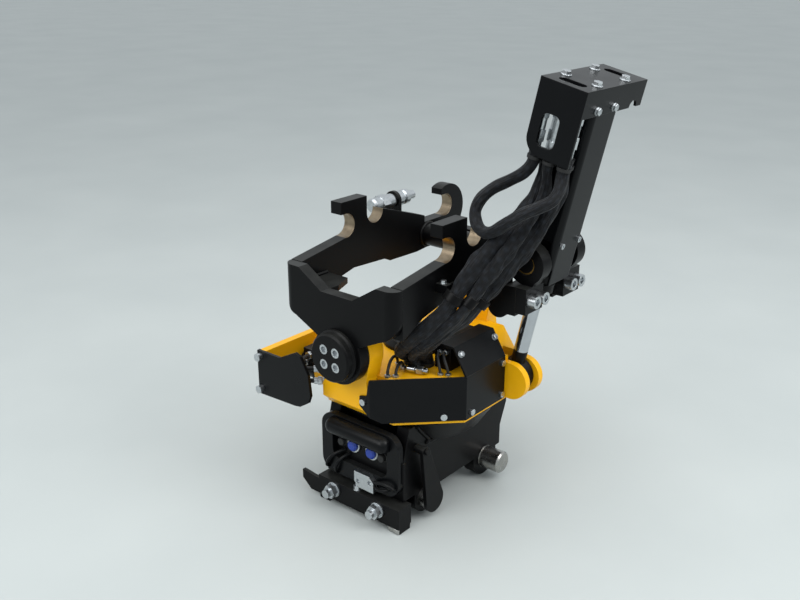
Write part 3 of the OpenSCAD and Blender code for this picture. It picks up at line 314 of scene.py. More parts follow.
def seat_steel(name, base, seats, radius):
    """Black paint whose pin seats are left bare: machined steel within radius of each seat axis."""
    mat, shader, paint = coated(name, **base)
    where = add(mat, "ShaderNodeTexCoord").outputs["Object"]
    near = None
    for y, z in seats:
        off = add(mat, "ShaderNodeVectorMath", {0: where, 1: (0.0, y, z)}, operation="SUBTRACT")
        flat = add(
            mat, "ShaderNodeVectorMath", {0: off.outputs["Vector"], 1: (0.0, 1.0, 1.0)}, operation="MULTIPLY"
        )
        far = add(mat, "ShaderNodeVectorMath", {0: flat.outputs["Vector"]}, operation="LENGTH")
        inside = add(
            mat, "ShaderNodeMath", {0: far.outputs["Value"], 1: radius + SEAT_MARGIN}, operation="LESS_THAN"
        ).outputs["Value"]
        if near is None:
            near = inside
        else:
            near = add(mat, "ShaderNodeMath", {0: near, 1: inside}, operation="MAXIMUM").outputs["Value"]
    stain = add(mat, "ShaderNodeTexNoise", {"Vector": where, "Scale": per_mm(16), "Detail": 4.0})
    steel = add(
        mat,
        "ShaderNodeMix",
        {"Factor": stain.outputs["Fac"], "A": srgb("#6c5e4e"), "B": srgb("#ab9b83")},
        data_type="RGBA",
    )
    colour = add(
        mat,
        "ShaderNodeMix",
        {"Factor": near, "A": paint.outputs["Result"], "B": steel.outputs["Result"]},
        data_type="RGBA",
    )
    link(mat, shader, "Base Color", colour.outputs["Result"])
    link(mat, shader, "Metallic", near)
    return mat


# Bracket plates: the same satin black, with bare pin seats that have a warm oil film
SEATS = [(-0.116, 0.699), (-0.010, 0.715), (0.281, 0.672)]
SEAT_R = 30 * MM
BRACKET_PLATE = seat_steel("satin_black_with_bare_seats", BLACK_COAT, SEATS, SEAT_R)


def woven_sleeve(name, dark, light, pitch_mm):
    """Textile hose sleeve: crossed diagonal bands on the tube's own UV map, in metres."""
    mat, shader = new_material(name)
    uv = add(mat, "ShaderNodeUVMap", uv_map="hose").outputs["UV"]
    heights = []
    for turn in (45, -45):
        spun = add(mat, "ShaderNodeMapping", {"Vector": uv, "Rotation": (0, 0, math.radians(turn))})
        wave = add(
            mat,
            "ShaderNodeTexWave",
            {
                "Vector": spun.outputs["Vector"],
                "Scale": per_mm(pitch_mm) / WAVE_RADIANS,
                "Distortion": 0.6,
                "Detail": 1.0,
            },
            wave_type="BANDS",
            bands_direction="X",
        )
        heights.append(wave.outputs["Fac"])
    weave = add(mat, "ShaderNodeMath", {0: heights[0], 1: heights[1]}, operation="MULTIPLY")
    where = add(mat, "ShaderNodeTexCoord").outputs["Object"]
    fade = add(mat, "ShaderNodeTexNoise", {"Vector": where, "Scale": per_mm(40), "Detail": 6.0})
    mixed = add(
        mat, "ShaderNodeMath", {0: weave.outputs["Value"], 1: fade.outputs["Fac"]}, operation="MULTIPLY"
    )
    tone = add(
        mat,
        "ShaderNodeMix",
        {"Factor": mixed.outputs["Value"], "A": srgb(dark), "B": srgb(light)},
        data_type="RGBA",
    )
    link(mat, shader, "Base Color", tone.outputs["Result"])
    # Slack cloth: long wrinkles, 60 mm along the hose and 9 mm across it
    drawn = add(mat, "ShaderNodeMapping", {"Vector": uv, "Scale": (per_mm(60), per_mm(9), 1)})
    slack = add(
        mat,
        "ShaderNodeTexNoise",
        {"Vector": drawn.outputs["Vector"], "Scale": 1.0, "Detail": 3.0, "Distortion": 0.6},
    )
    wrinkle = add(
        mat, "ShaderNodeBump", {"Height": slack.outputs["Fac"], "Distance": 8 * MM, "Strength": 0.9}
    )
    bump = add(
        mat,
        "ShaderNodeBump",
        {
            "Height": weave.outputs["Value"],
            "Distance": 0.5 * MM,
            "Strength": 0.7,
            "Normal": wrinkle.outputs["Normal"],
        },
    )
    link(mat, shader, "Normal", bump.outputs["Normal"])
    shader.inputs["Roughness"].default_value = 0.6
    shader.inputs["Specular IOR Level"].default_value = 0.2
    shader.inputs["Sheen Weight"].default_value = 0.06
    return mat


# Woven polyamide hose sleeve: dark blue grey and matt. The weave turns one radian in 3 mm, so its
# bands lie 19 mm apart; they are drawn far coarser than real threads so that they show.
SLEEVE = woven_sleeve("woven_polyamide_sleeve", "#0a0b0e", "#1f242b", 3.0)


def moulded(name, dark, light, rough, grain_mm):
    """Moulded plastic or rubber: nearly even tone with a faint moulding grain."""
    mat, shader = new_material(name)
    where = add(mat, "ShaderNodeTexCoord").outputs["Object"]
    grain = add(mat, "ShaderNodeTexNoise", {"Vector": where, "Scale": per_mm(grain_mm), "Detail": 4.0})
    tone = add(
        mat,
        "ShaderNodeMix",
        {"Factor": grain.outputs["Fac"], "A": srgb(dark), "B": srgb(light)},
        data_type="RGBA",
    )
    link(mat, shader, "Base Color", tone.outputs["Result"])
    rounded = add(mat, "ShaderNodeBevel", {"Radius": FINE_EDGE}, samples=4)
    bump = add(
        mat,
        "ShaderNodeBump",
        {
            "Height": grain.outputs["Fac"],
            "Distance": 0.1 * MM,
            "Strength": 0.4,
            "Normal": rounded.outputs["Normal"],
        },
    )
    link(mat, shader, "Normal", bump.outputs["Normal"])
    shader.inputs["Roughness"].default_value = rough
    return mat


# Moulded polyethylene dust caps: saturated blue, soft gloss; the blue is darkened as painted shade for the
# shade they lie in under the hood.
BLUE_CAP = moulded("blue_polyethylene_cap", "#0d2a7c", "#163ea6", 0.38, 5)
# Nitrile rubber of the small hoses, cuffs and sockets: black, matt
RUBBER = moulded("black_nitrile_rubber", "#0e0e0e", "#191919", 0.6, 4)


# Finish of each CAD node

FINISHES = {
    "yellow_paint": CAST_YELLOW,
    "black_paint": SATIN_BLACK,
    "bare_steel": TURNED_STEEL,
    "zinc_plate": ZINC,
    "hard_chrome": HARD_CHROME,
    "bronze": BRONZE,
    "hose_sleeve": RUBBER,
    "blue_plastic": BLUE_CAP,
}
SHEET_NODES = (
    "tower_cover",
    "tower_head",
    "tower_frames",
    "side_cover",
    "upper_cover",
    "guard_plate",
    "coupling_box",
)
INNER_STEEL = ("swivel_core", "worm_wheel", "worm", "worm_bearings", "slew_bearing", "tilt_axles")
SPECIAL = {"bracket_left": BRACKET_PLATE, "bracket_right": BRACKET_PLATE}
SPECIAL.update({n: POWDER_BLACK for n in SHEET_NODES})
SPECIAL.update({n: DRIVE_STEEL for n in INNER_STEEL})
for part in frame["record"]["subparts"]:
    node = frame["nodes"][part["node"]]
    node.data.materials.clear()
    node.data.materials.append(SPECIAL.get(part["node"], FINISHES[part["material_slot"]]))


# Camera: the photograph's own viewpoint

FOCAL_PX = 950
IMAGE_PX = 800
SENSOR_MM = 36
EYE = Vector((1.3987, -1.7424, 1.345))
TURN = math.radians(40)
PITCH = math.radians(20.6)
look = Vector((-math.sin(TURN) * math.cos(PITCH), math.cos(TURN) * math.cos(PITCH), -math.sin(PITCH)))
lens = bpy.data.cameras.new("photo_camera")
lens.sensor_width = SENSOR_MM
lens.lens = SENSOR_MM * FOCAL_PX / IMAGE_PX
lens.clip_end = 200
camera = bpy.data.objects.new("photo_camera", lens)
camera.location = EYE
camera.rotation_mode = "QUATERNION"
camera.rotation_quaternion = look.to_track_quat("-Z", "Y")
bpy.context.scene.collection.objects.link(camera)
bpy.context.scene.camera = camera


# Hoses: the routes of the CAD solids, and a third sleeve

HOSE_R = 17.6 * MM
LOOP_R = 14.8 * MM
MIDDLE_R = 13.2 * MM
UPPER_A = [
    (344, 16, 927), (337, 16, 896), (332, 5, 856), (323, -17, 812), (304, -45, 770),
    (281, -73, 728), (258, -99, 688), (233, -124, 644), (216, -146, 604),
]
UPPER_B = [
    (387, 16, 917), (380, 16, 886), (376, 12, 842), (362, -1, 798), (341, -17, 752),
    (318, -36, 710), (296, -54, 672), (271, -68, 628), (247, -90, 590),
]
LOOP = [
    (329, -16, 930), (323, -16, 904), (304, -20, 880), (277, -32, 862), (246, -46, 842), (222, -60, 816),
    (214, -70, 788), (228, -82, 762), (256, -94, 752), (290, -102, 764), (322, -100, 788), (352, -86, 810),
    (378, -70, 824), (395, -48, 838), (398, -28, 858), (397, -16, 887), (403, -16, 913),
]
LOWER_A = [
    (216, -146, 604), (199, -168, 564), (173, -188, 532), (140, -195, 500), (110, -190, 472),
    (86, -174, 450), (74, -148, 431), (72, -118, 417), (72, -118, 395),
]
LOWER_B = [
    (247, -90, 590), (223, -112, 552), (196, -140, 524), (168, -152, 494), (141, -152, 468),
    (121, -140, 448), (110, -122, 432), (108, -104, 417), (108, -104, 395),
]
# A thinner third sleeve, which the solids don't have, lies on the pair and closes the gap between them
UPPER_C = [
    (366, -16, 921), (360, -16, 895), (357, -15, 855), (346, -28, 808), (329, -48, 764),
    (308, -69, 721), (289, -89, 681), (266, -108, 637), (247, -127, 596),
]
LOWER_C = [
    (247, -127, 596), (225, -148, 556), (198, -170, 525), (168, -181, 494), (139, -179, 467),
    (117, -167, 447), (104, -152, 431), (101, -139, 417), (101, -139, 395),
]
# How much wider than deep each sleeve lies at the points of its route
UPPER_SPREAD = [1, 1, 1.1, 1.2, 1.35, 1.55, 1.75, 1.5, 1]
LOWER_SPREAD = [1, 1.35, 1.5, 1.5, 1.35, 1.2, 1.05, 1, 1]
# The sleeves lie side by side along the tower's width at the top, and along the bracket below
ROW_HIGH = Vector((1, 0, -0.2))
ROW_LOW = Vector((0.49, 0.87, -0.09))
# How deep each sleeve creases
UPPER_CREASE = 2.4 * MM
LOWER_CREASE = 1.8 * MM
LOOP_CREASE = 1.3 * MM
# Creases: folds round the ring, millimetres of hose in which they turn one radian, phase, share
FOLDS = [(3, 31, 0.0, 0.5), (5, -17, 1.3, 0.3), (2, 9, 0.0, 0.3)]
# Rings at each end over which the creases fade
HELD_RINGS = 5
# Cross folds of a sleeve that is pushed together, and the share of the way that they take up
RIB_PITCH_MM = 11
RIB_HEIGHT = 0.9 * MM
LOWER_RIBS = (0.5, 0.95)


def smooth_route(points, step):
    """A smooth curve through the points, in metres, with a point about every step."""
    pts = [Vector(p) * MM for p in points]
    ends = [pts[0] * 2 - pts[1], *pts, pts[-1] * 2 - pts[-2]]
    route = []
    for a, b, c, d in zip(ends, ends[1:], ends[2:], ends[3:]):
        count = max(2, round((c - b).length / step))
        for i in range(count):
            t = i / count
            square = (2 * a - 5 * b + 4 * c - d) * t**2
            cube = (3 * b - 3 * c + d - a) * t**3
            route.append(0.5 * (2 * b + (c - a) * t + square + cube))
    return [*route, pts[-1]]


def hose(name, points, radius, material, crease, spread=None, rows=None, ribs=None, step=4 * MM, sides=32):
    """A hose or its sleeve: rings along the route, baggy where it creases, with its own UV map in metres.

    Ribs are the first and last share of the way between which the sleeve is pushed into cross folds.
    """
    route = smooth_route(points, step)
    last = len(route) - 1
    bm = bmesh.new()
    uv = bm.loops.layers.uv.new("hose")
    side = (route[1] - route[0]).orthogonal().normalized()
    rings = []
    along = [0.0]
    for i, p in enumerate(route):
        ahead = (route[min(i + 1, last)] - route[max(i - 1, 0)]).normalized()
        share = i / last
        if rows:
            side = rows[0].lerp(rows[1], share)
        side = (side - ahead * side.dot(ahead)).normalized()
        other = ahead.cross(side)
        if i:
            along.append(along[-1] + (p - route[i - 1]).length)
        wide = 1.0
        if spread:
            at = share * (len(spread) - 1)
            low = min(int(at), len(spread) - 2)
            wide = spread[low] + (spread[low + 1] - spread[low]) * (at - low)
        held = min(1.0, i / HELD_RINGS, (last - i) / HELD_RINGS)
        s = along[i] / MM
        rib = 0.0
        if ribs and ribs[0] < share < ribs[1]:
            rib = RIB_HEIGHT * math.sin(2 * math.pi * s / RIB_PITCH_MM)
        ring = []
        for k in range(sides):
            a = 2 * math.pi * k / sides
            fold = sum(part * math.sin(n * a + s / twist + phase) for n, twist, phase, part in FOLDS)
            r = radius + held * (crease * (fold - 1.0) + rib - abs(rib) * 0.5)
            ring.append(bm.verts.new(p + (side * math.cos(a) * wide + other * math.sin(a)) * r))
        rings.append(ring)
    arc = 2 * math.pi * radius / sides
    for i in range(last):
        for k in range(sides):
            n = (k + 1) % sides
            face = bm.faces.new((rings[i][k], rings[i][n], rings[i + 1][n], rings[i + 1][k]))
            marks = [(along[i], k), (along[i], k + 1), (along[i + 1], k + 1), (along[i + 1], k)]
            for loop, (u, v) in zip(face.loops, marks):
                loop[uv].uv = (u, v * arc)
    for ring in (rings[0], rings[-1]):
        bm.faces.new(ring)
    bmesh.ops.recalc_face_normals(bm, faces=bm.faces)
    piece = place(name, bm, None, material)
    return piece, route


UPPER_SLEEVES = (("a", UPPER_A, HOSE_R), ("b", UPPER_B, HOSE_R), ("c", UPPER_C, MIDDLE_R))
LOWER_SLEEVES = (("a", LOWER_A, HOSE_R), ("b", LOWER_B, HOSE_R), ("c", LOWER_C, MIDDLE_R))
MADE_AS_SOLIDS = ("a", "b")
for tag, points, radius in UPPER_SLEEVES:
    piece, route = hose(
        "hose_upper_" + tag, points, radius, SLEEVE, UPPER_CREASE, UPPER_SPREAD, (ROW_HIGH, ROW_LOW)
    )
    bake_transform(piece)
    if tag in MADE_AS_SOLIDS:
        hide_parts("hoses_upper")
for tag, points, radius in LOWER_SLEEVES:
    piece, route = hose(
        "hose_lower_" + tag,
        points,
        radius,
        SLEEVE,
        LOWER_CREASE,
        LOWER_SPREAD,
        (ROW_LOW, ROW_LOW),
        LOWER_RIBS,
    )
    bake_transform(piece)
    if tag in MADE_AS_SOLIDS:
        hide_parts("hoses_lower")
piece = hose("hose_loop_sleeve", LOOP, LOOP_R, SLEEVE, LOOP_CREASE)[0]
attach(piece, "barrel")
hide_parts("hose_loop")


# Small hardware

LEAN = math.radians(12.8)
TRUNNION = Vector((307.517, 90, 665.334))
TOWER_RIGHT = Vector((math.cos(LEAN), 0, -math.sin(LEAN)))
TOWER_UP = Vector((math.sin(LEAN), 0, math.cos(LEAN)))
UP = Vector((0, 0, 1))
FORWARD = Vector((0, -1, 0))


def on_tower(x, y, s):
    """A point of the tower's own frame, in millimetres of the shared frame."""
    return TRUNNION + TOWER_RIGHT * x + Vector((0, y, 0)) + TOWER_UP * s


def aimed(base, way):
    """Stands a shape that is drawn in millimetres along Z on a base point, facing way."""
    turn = Vector(way).to_track_quat("Z", "Y").to_matrix().to_4x4()
    return Matrix.Translation(Vector(base) * MM) @ turn @ Matrix.Scale(MM, 4)


def hardware(name, shape, places, body, material, slot_name):
    """One piece with a copy of the shape at each base point and direction."""
    bm = bmesh.new()
    for base, way in places:
        old = set(bm.verts)
        shape(bm)
        bmesh.ops.remove_doubles(bm, verts=[v for v in bm.verts if v not in old], dist=0.01)
        bmesh.ops.transform(bm, matrix=aimed(base, way), verts=[v for v in bm.verts if v not in old])
    bmesh.ops.recalc_face_normals(bm, faces=bm.faces)
    place(name, bm, body, material)


def turned(profile, steps=32):
    """Shape spun from a profile of radius and height; a ring repeats its first point."""

    def shape(bm):
        verts = [bm.verts.new((r, 0, h)) for r, h in profile]
        edges = [bm.edges.new(pair) for pair in zip(verts, verts[1:])]
        bmesh.ops.spin(
            bm,
            geom=verts + edges,
            cent=(0, 0, 0),
            axis=(0, 0, 1),
            angle=2 * math.pi,
            steps=steps,
            use_merge=True,
        )

    return shape


def collar(inner, outer, height):
    """A plain ring with broken edges."""
    edge = min(1.0, (outer - inner) / 3)
    return turned(
        [
            (inner, 0),
            (outer - edge, 0),
            (outer, edge),
            (outer, height - edge),
            (outer - edge, height),
            (inner, height),
            (inner, 0),
        ]
    )


def break_edges(bm, edges, offset):
    """Rounds edges off in two steps."""
    bmesh.ops.bevel(
        bm,
        geom=edges,
        offset=offset,
        offset_type="OFFSET",
        affect="EDGES",
        segments=2,
        profile=0.5,
        material=-1,
    )


def bevelled(bm, verts, height, offset):
    """Breaks the upper edges of a head."""
    top = [v for v in verts if v.co.z > height - 0.01]
    edges = list({e for v in top for e in v.link_edges if all(w in top for w in e.verts)})
    break_edges(bm, edges, offset)


def hex_head(across, height, washer_r=0, washer_t=2, stud_r=0, stud_h=0):
    """A hexagon head on its washer, with the end of a stud where one shows."""

    def shape(bm):
        low = 0
        if washer_r:
            low = washer_t
            bmesh.ops.create_cone(
                bm, cap_ends=True, segments=36, radius1=washer_r, radius2=washer_r - 0.4, depth=washer_t,
                matrix=Matrix.Translation((0, 0, washer_t / 2)),
            )
        radius = across / math.sqrt(3)
        head = bmesh.ops.create_cone(
            bm, cap_ends=True, segments=6, radius1=radius, radius2=radius, depth=height,
            matrix=Matrix.Translation((0, 0, low + height / 2)),
        )["verts"]
        bevelled(bm, head, low + height, 1.0)
        if stud_r:
            bmesh.ops.create_cone(
                bm, cap_ends=True, segments=20, radius1=stud_r, radius2=stud_r - 0.8, depth=stud_h,
                matrix=Matrix.Translation((0, 0, low + height + stud_h / 2)),
            )

    return shape


def socket_head(radius, height):
    """A cap screw head with a round sunk socket."""

    def shape(bm):
        verts = bmesh.ops.create_cone(
            bm, cap_ends=True, segments=24, radius1=radius, radius2=radius, depth=height,
            matrix=Matrix.Translation((0, 0, height / 2)),
        )["verts"]
        top = max({f for v in verts for f in v.link_faces}, key=lambda f: f.calc_center_median().z)
        bmesh.ops.inset_region(bm, faces=[top], thickness=radius * 0.16)
        bmesh.ops.translate(bm, verts=list(top.verts), vec=(0, 0, 0.4))
        bmesh.ops.inset_region(bm, faces=[top], thickness=radius * 0.3)
        sunk = bmesh.ops.extrude_discrete_faces(bm, faces=[top])["faces"]
        bmesh.ops.translate(bm, verts=list(sunk[0].verts), vec=(0, 0, -0.5 * height))

    return shape


GREASE_NIPPLE = turned(
    [(0, 0), (4, 0), (4, 4), (2.4, 5), (2.4, 8), (3.4, 9), (3.4, 12), (2.2, 13.5), (0, 14)], steps=16
)
SCREW_STEEL = (ZINC, "zinc_plate")
RUBBER_END = (RUBBER, "black_paint")
SWIVEL_SCREW_R = 69
SWIVEL_ANGLES = [math.radians(22.5 + 45 * i) for i in range(8)]
TEST_COUPLING_WAY = (0.96, 0.28, 0)

hardware(
    "tower_flange_screws",
    hex_head(15, 6, 9.5),
    [(on_tower(side * 57, y, 378), TOWER_RIGHT * side) for side in (1, -1) for y in (-68, 4)],
    "barrel",
    *SCREW_STEEL,
)
hardware(
    "tower_face_screws",
    socket_head(7, 6),
    [(on_tower(46, y, 54), TOWER_RIGHT) for y in (-36, 36)],
    "barrel",
    *SCREW_STEEL,
)
hardware(
    "upper_cover_screws",
    hex_head(13, 6, 8.5),
    [((203.1, y, 447), (0.85, 0, 0.526)) for y in (-98, 38)],
    "housing",
    *SCREW_STEEL,
)
hardware(
    "clamp_screws",
    hex_head(13, 6, 8),
    [((186, -146, 632), UP), ((198, -90, 618), UP)],
    "upper_bracket",
    *SCREW_STEEL,
)
hardware(
    "swivel_screws",
    socket_head(6.5, 6),
    [((SWIVEL_SCREW_R * math.cos(a), SWIVEL_SCREW_R * math.sin(a), 415), UP) for a in SWIVEL_ANGLES],
    "housing",
    *SCREW_STEEL,
)
hardware(
    "trunnion_nipples",
    GREASE_NIPPLE,
    [((307.5, y, 713.2), UP) for y in (14.5, 165.5)],
    "upper_bracket",
    *SCREW_STEEL,
)
hardware("oil_plug", hex_head(22, 8, 16, 3), [((-166, 166, 312), (-1, 1, 0))], "housing", *SCREW_STEEL)
hardware("bar_stud", hex_head(17, 10, 11, 2.5, 5, 8), [((-4, -236, 68), UP)], "hitch", *SCREW_STEEL)

# Coupling block: collars round the capped couplings, and two cable sockets
hardware(
    "coupling_collars",
    collar(15.3, 20, 7),
    [((s * 30, -214, 176), FORWARD) for s in (1, -1)],
    "hitch",
    *SCREW_STEEL,
)
hardware(
    "cable_sockets",
    turned([(0, 0), (13, 0), (13, 4), (10.5, 5), (10.5, 13), (9, 15), (0, 15)]),
    [((s * 66, -214, 176), FORWARD) for s in (1, -1)],
    "hitch",
    *RUBBER_END,
)

# Rolled hood over the couplings, which keeps dirt and light off them
HOOD = [(0, 0), (9, 1), (16, 5), (20.5, 12), (22, 20), (22, 180), (20.5, 188), (16, 195), (9, 199), (0, 200)]
hardware(
    "coupling_hood",
    turned(HOOD, steps=40),
    [((-100, -236, 222), (1, 0, 0))],
    "hitch",
    POWDER_BLACK,
    "black_paint",
)

# Cuffs and grommets where the sleeves end
hardware(
    "sleeve_cuffs",
    collar(17.7, 19.2, 9),
    [(on_tower(x, -74, 240), TOWER_UP) for x in (-22, 22)],
    "barrel",
    *RUBBER_END,
)
hardware(
    "loop_cuffs",
    collar(14.9, 16.2, 8),
    [(on_tower(x, -106, 246), TOWER_UP) for x in (-38, 38)],
    "barrel",
    *RUBBER_END,
)
hardware(
    "sleeve_grommets",
    collar(17.7, 19.2, 9),
    [((72, -118, 395), UP), ((108, -104, 395), UP)],
    "housing",
    *RUBBER_END,
)

# The third sleeve's own ends: a fitting in the tower head, a strap over the clamp and a grommet
hardware(
    "middle_fitting",
    turned([(0, 0), (9, 0), (9, 22), (13, 22.5), (13, 46), (9, 46.5), (9, 158), (0, 158)], steps=24),
    [(on_tower(0, -106, 252), TOWER_UP)],
    "barrel",
    *SCREW_STEEL,
)
hardware("middle_cuff", collar(13.3, 15, 8), [(on_tower(0, -106, 246), TOWER_UP)], "barrel", *RUBBER_END)
hardware(
    "middle_strap",
    collar(13.3, 16, 26),
    [((253.2, -120.8, 606.6), (-0.48, -0.48, -0.82))],
    "upper_bracket",
    SATIN_BLACK,
    "black_paint",
)
hardware("middle_grommet", collar(13.3, 15, 9), [((101, -139, 395), UP)], "housing", *RUBBER_END)

# Test point on the housing, a bright coupling with its hexagon
hardware(
    "test_coupling",
    turned([(0, 0), (8, 0), (9.5, 1.5), (9.5, 20), (8, 21), (7, 22), (7, 50), (6, 52), (0, 52)]),
    [((98, -164, 405), TEST_COUPLING_WAY)],
    "housing",
    HARD_CHROME,
    "hard_chrome",
)
hardware(
    "test_coupling_nut", hex_head(19, 16), [((122, -157, 405), TEST_COUPLING_WAY)], "housing", *SCREW_STEEL
)


def ground_pad(bm):
    """A flat steel pad with broken edges, drawn flat on its base point."""
    wide, deep, thick = 34, 12, 4
    stand = Matrix.Translation((0, 0, thick / 2)) @ Matrix.Diagonal((wide, deep, thick, 1))
    bmesh.ops.create_cube(bm, size=1, matrix=stand)
    break_edges(bm, list(bm.edges), 0.6)


# Bare wear pad on the front of the right foot of the front bar
hardware("bar_wear_pad", ground_pad, [((123, -244, 7.4), FORWARD)], "hitch", TURNED_STEEL, "bare_steel")


# Weld beads


def swept(bm, route, radius, sides=10, ripple=0.0):
    """Extrudes a ring along a route and closes its ends; every second ring is wider by the ripple."""
    side = (route[1] - route[0]).orthogonal().normalized()
    ring = bmesh.ops.create_circle(bm, cap_ends=False, segments=sides, radius=1.0)["verts"]
    edges = list({e for v in ring for e in v.link_edges})
    last = Matrix.Identity(4)
    for i, p in enumerate(route):
        ahead = (route[min(i + 1, len(route) - 1)] - route[max(i - 1, 0)]).normalized()
        side = (side - ahead * side.dot(ahead)).normalized()
        r = radius * (1 + ripple * (i % 2))
        turn = Matrix((side, ahead.cross(side), ahead)).transposed().to_4x4()
        here = Matrix.Translation(p) @ turn @ Matrix.Scale(r, 4)
        if i:
            made = bmesh.ops.extrude_edge_only(bm, edges=edges)["geom"]
            ring = [g for g in made if isinstance(g, bmesh.types.BMVert)]
            edges = list({e for v in ring for e in v.link_edges if all(w in ring for w in e.verts)})
        bmesh.ops.transform(bm, matrix=here @ last.inverted(), verts=ring)
        last = here
    bmesh.ops.holes_fill(bm, edges=[e for e in bm.edges if e.is_boundary], sides=0)


def runs(name, routes, radius, body, material, step, sides=10, ripple=0.0):
    """One piece of several swept runs, with their points in millimetres."""
    bm = bmesh.new()
    for points in routes:
        part = bmesh.new()
        swept(part, smooth_route(points, step), radius, sides, ripple)
        bmesh.ops.recalc_face_normals(part, faces=part.faces)
        spare = bpy.data.meshes.new("run")
        part.to_mesh(spare)
        part.free()
        bm.from_mesh(spare)
        bpy.data.meshes.remove(spare)
    place(name, bm, body, material)


def ring_points(x, y, z, radius, count=32):
    """Points of a circle round an X axis."""
    return [
        (x, y + radius * math.cos(2 * math.pi * i / count), z + radius * math.sin(2 * math.pi * i / count))
        for i in range(count + 1)
    ]


# Bowl of the slewing head: its foot, and how far it flares while it rises
BOWL_Z, BOWL_R = 200, 168
BOWL_FLARE, BOWL_RISE = 44, 65
# A bead's middle lies this far off the plate's face, and its seam has this many points this far apart
BEAD_OFF = 1.5
SEAM_POINTS, SEAM_GAP = 9, 7.5


def head_seam(x):
    """Line in which a hitch plate's outer face meets the bowl of the slewing head."""
    face = abs(x) - BEAD_OFF
    up = []
    for i in range(SEAM_POINTS):
        z = BOWL_Z + i * SEAM_GAP
        r = BOWL_R + (z - BOWL_Z) * BOWL_FLARE / BOWL_RISE
        up.append((x, math.sqrt(r * r - face * face), z - 1))
    return [(x, -y, z) for _, y, z in reversed(up)] + up


BRACKET_WELDS = [route for s in (1, -1) for route in (
    [(s * 135, -268, 528), (s * 135, -268, 642)],
    [(s * 58, -268, 600), (s * 133, -268, 600)],
    [(s * 135, -264, 600), (s * 135, -188, 600)],
    [(s * 135, 268, 578), (s * 135, 268, 618)],
    ring_points(s * 135.5, 205, 606, 31),
)]
OUTRIGGER_WELDS = [
    [(173, -29, 592), (173, -29, 650)],
    [(173, -26, 653), (173, 206, 653)],
    [(173, 209, 650), (173, 209, 592)],
]
HITCH_WELDS = [route for s in (1, -1) for route in (
    head_seam(s * 128.5),
    [(s * 127, -215, 124), (s * 127, -215, 180)],
)]
BEAD_R = 4.2 * MM
BEAD_STEP = 3.2 * MM
BEAD = {"step": BEAD_STEP, "sides": 10, "ripple": 0.16}
runs("bracket_welds", BRACKET_WELDS + OUTRIGGER_WELDS, BEAD_R, "upper_bracket", SATIN_BLACK, **BEAD)
runs("hitch_welds", HITCH_WELDS, BEAD_R, "hitch", SATIN_BLACK, **BEAD)

# Rigid oil pipes of the coupling box
BOX_PIPES = [
    [
        (-62, -213, 150), (-70, -226, 147), (-84, -239, 136),
        (-98, -242, 118), (-104, -240, 103), (-104, -231, 97),
    ],
    [
        (-48, -213, 142), (-55, -228, 138), (-65, -240, 124),
        (-72, -242, 106), (-73, -238, 94), (-73, -231, 90),
    ],
    [
        (57, -239, 112), (70, -242, 117), (90, -244, 122),
        (107, -242, 119), (115, -237, 112), (116, -231, 110),
    ],
    [(57, -239, 98), (72, -243, 98), (86, -243, 101), (96, -238, 104), (98, -231, 105)],
]
PIPE_R = 4.5 * MM
runs("box_pipes", BOX_PIPES, PIPE_R, "hitch", POWDER_BLACK, step=3 * MM, sides=14)


def bow(start, end, leave, arrive, reach, count=10):
    """Points of one even bend with its directions at both ends; reach is a share of the chord."""
    a, d = Vector(start), Vector(end)
    pull = (d - a).length * reach
    b, c = a + Vector(leave).normalized() * pull, d - Vector(arrive).normalized() * pull
    points = []
    for i in range(count + 1):
        t = i / count
        points.append(a * (1 - t) ** 3 + b * 3 * t * (1 - t) ** 2 + c * 3 * t**2 * (1 - t) + d * t**3)
    return points


# Thin control hoses on the housing, and the two oil hoses of the slew motor
CONTROL_HOSES = [
    bow((56, -150, 395), (82, -219, 395), UP, -UP, 0.64),
    bow((79, -158, 395), (97, -207, 395), UP, -UP, 0.64),
    bow((146, -98, 438), (170, -131, 395), FORWARD, -UP, 0.45),
    bow((162, -98, 442), (187, -122, 395), FORWARD, -UP, 0.45),
]
MOTOR_HOSES = [
    bow((-126, -254, 368), (-196, -196, 366), (-1, -1, 0), -FORWARD, 0.5),
    bow((-126, -254, 336), (-208, -196, 346), (-1, -1, 0), -FORWARD, 0.5),
]
CONTROL_R = 3.6 * MM
MOTOR_R = 6 * MM
for i, points in enumerate(CONTROL_HOSES):
    piece = hose(f"control_hose_{i}", points, CONTROL_R, RUBBER, 0, step=3 * MM, sides=16)[0]
    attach(piece, "housing")
for i, points in enumerate(MOTOR_HOSES):
    piece = hose(f"motor_hose_{i}", points, MOTOR_R, RUBBER, 0, sides=20)[0]
    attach(piece, "housing")
hardware(
    "control_hose_nuts",
    hex_head(13, 7),
    [(points[-1], UP) for points in CONTROL_HOSES]
    + [(points[0], UP) for points in CONTROL_HOSES[:2]]
    + [(points[0], FORWARD) for points in CONTROL_HOSES[2:]],
    "housing",
    *SCREW_STEEL,
)
MOTOR_FITTING = [
    (0, 0), (10, 0), (10, 6), (8, 7), (8, 14),
    (10.5, 15), (10.5, 24), (8.2, 25), (8.2, 34), (0, 34),
]
hardware(
    "motor_hose_fittings",
    turned(MOTOR_FITTING),
    [((-102, -230, z), (-1, -1, 0)) for z in (368, 336)],
    "housing",
    *SCREW_STEEL,
)
hardware(
    "motor_hose_nuts",
    hex_head(19, 9),
    [(points[-1], FORWARD) for points in MOTOR_HOSES],
    "housing",
    *SCREW_STEEL,
)


# Floor, light and world

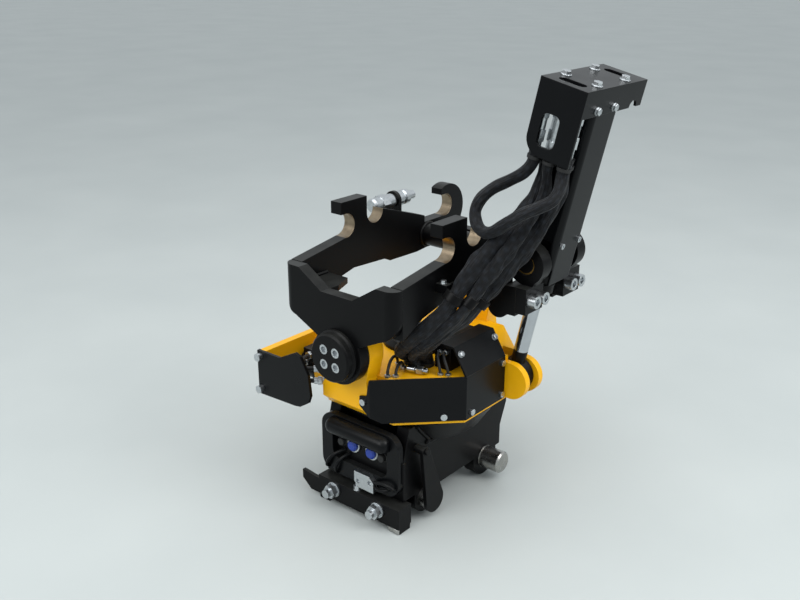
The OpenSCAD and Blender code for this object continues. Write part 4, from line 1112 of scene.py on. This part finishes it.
floor_mat, floor_shader = new_material("pale_concrete_floor")
floor_where = add(floor_mat, "ShaderNodeTexCoord").outputs["Object"]
floor_cloud = add(floor_mat, "ShaderNodeTexNoise", {"Vector": floor_where, "Scale": 1.6, "Detail": 8.0})
floor_tone = add(
    floor_mat,
    "ShaderNodeMix",
    {"Factor": floor_cloud.outputs["Fac"], "A": srgb("#a9afae"), "B": srgb("#b9bebc")},
    data_type="RGBA",
)
link(floor_mat, floor_shader, "Base Color", floor_tone.outputs["Result"])
floor_shader.inputs["Roughness"].default_value = 0.55
FLOOR_HALF = 60
bm = bmesh.new()
bmesh.ops.create_grid(bm, x_segments=1, y_segments=1, size=FLOOR_HALF)
floor = place("floor", bm, None, floor_mat)

world = bpy.data.worlds.new("soft_hall")
world.use_nodes = True
bpy.context.scene.world = world
backdrop = world.node_tree.nodes["Background"]
backdrop.inputs["Color"].default_value = srgb("#e8eef2")
# Bright walls and roof over a dimmer horizon, as in a hall with high windows
upward = add(world, "ShaderNodeTexCoord").outputs["Generated"]
height = add(world, "ShaderNodeSeparateXYZ", {"Vector": upward})
glow = add(
    world,
    "ShaderNodeMapRange",
    {"Value": height.outputs["Z"], "From Max": 0.35, "To Min": 0.45, "To Max": 0.95},
)
world.node_tree.links.new(glow.outputs["Result"], backdrop.inputs["Strength"])


def softbox(name, place_at, aim_at, size, power):
    """A rectangular lamp, in metres and watts."""
    lamp = bpy.data.lights.new(name, "AREA")
    lamp.shape = "RECTANGLE"
    lamp.size, lamp.size_y = size
    lamp.energy = power
    box = bpy.data.objects.new(name, lamp)
    box.location = place_at
    box.rotation_euler = (Vector(aim_at) - Vector(place_at)).to_track_quat("-Z", "Y").to_euler()
    bpy.context.scene.collection.objects.link(box)


softbox("roof_light", (0.6, -0.4, 4.2), (0.1, 0, 0.4), (4.5, 3.5), 90)
softbox("right_light", (3.5, 0.7, 3.3), (0.2, 0, 0.5), (2.5, 2.5), 95)
softbox("front_light", (-0.7, -3.6, 3.1), (0.0, 0, 0.4), (3.0, 2.0), 75)

bpy.context.scene.view_settings.view_transform = "Standard"
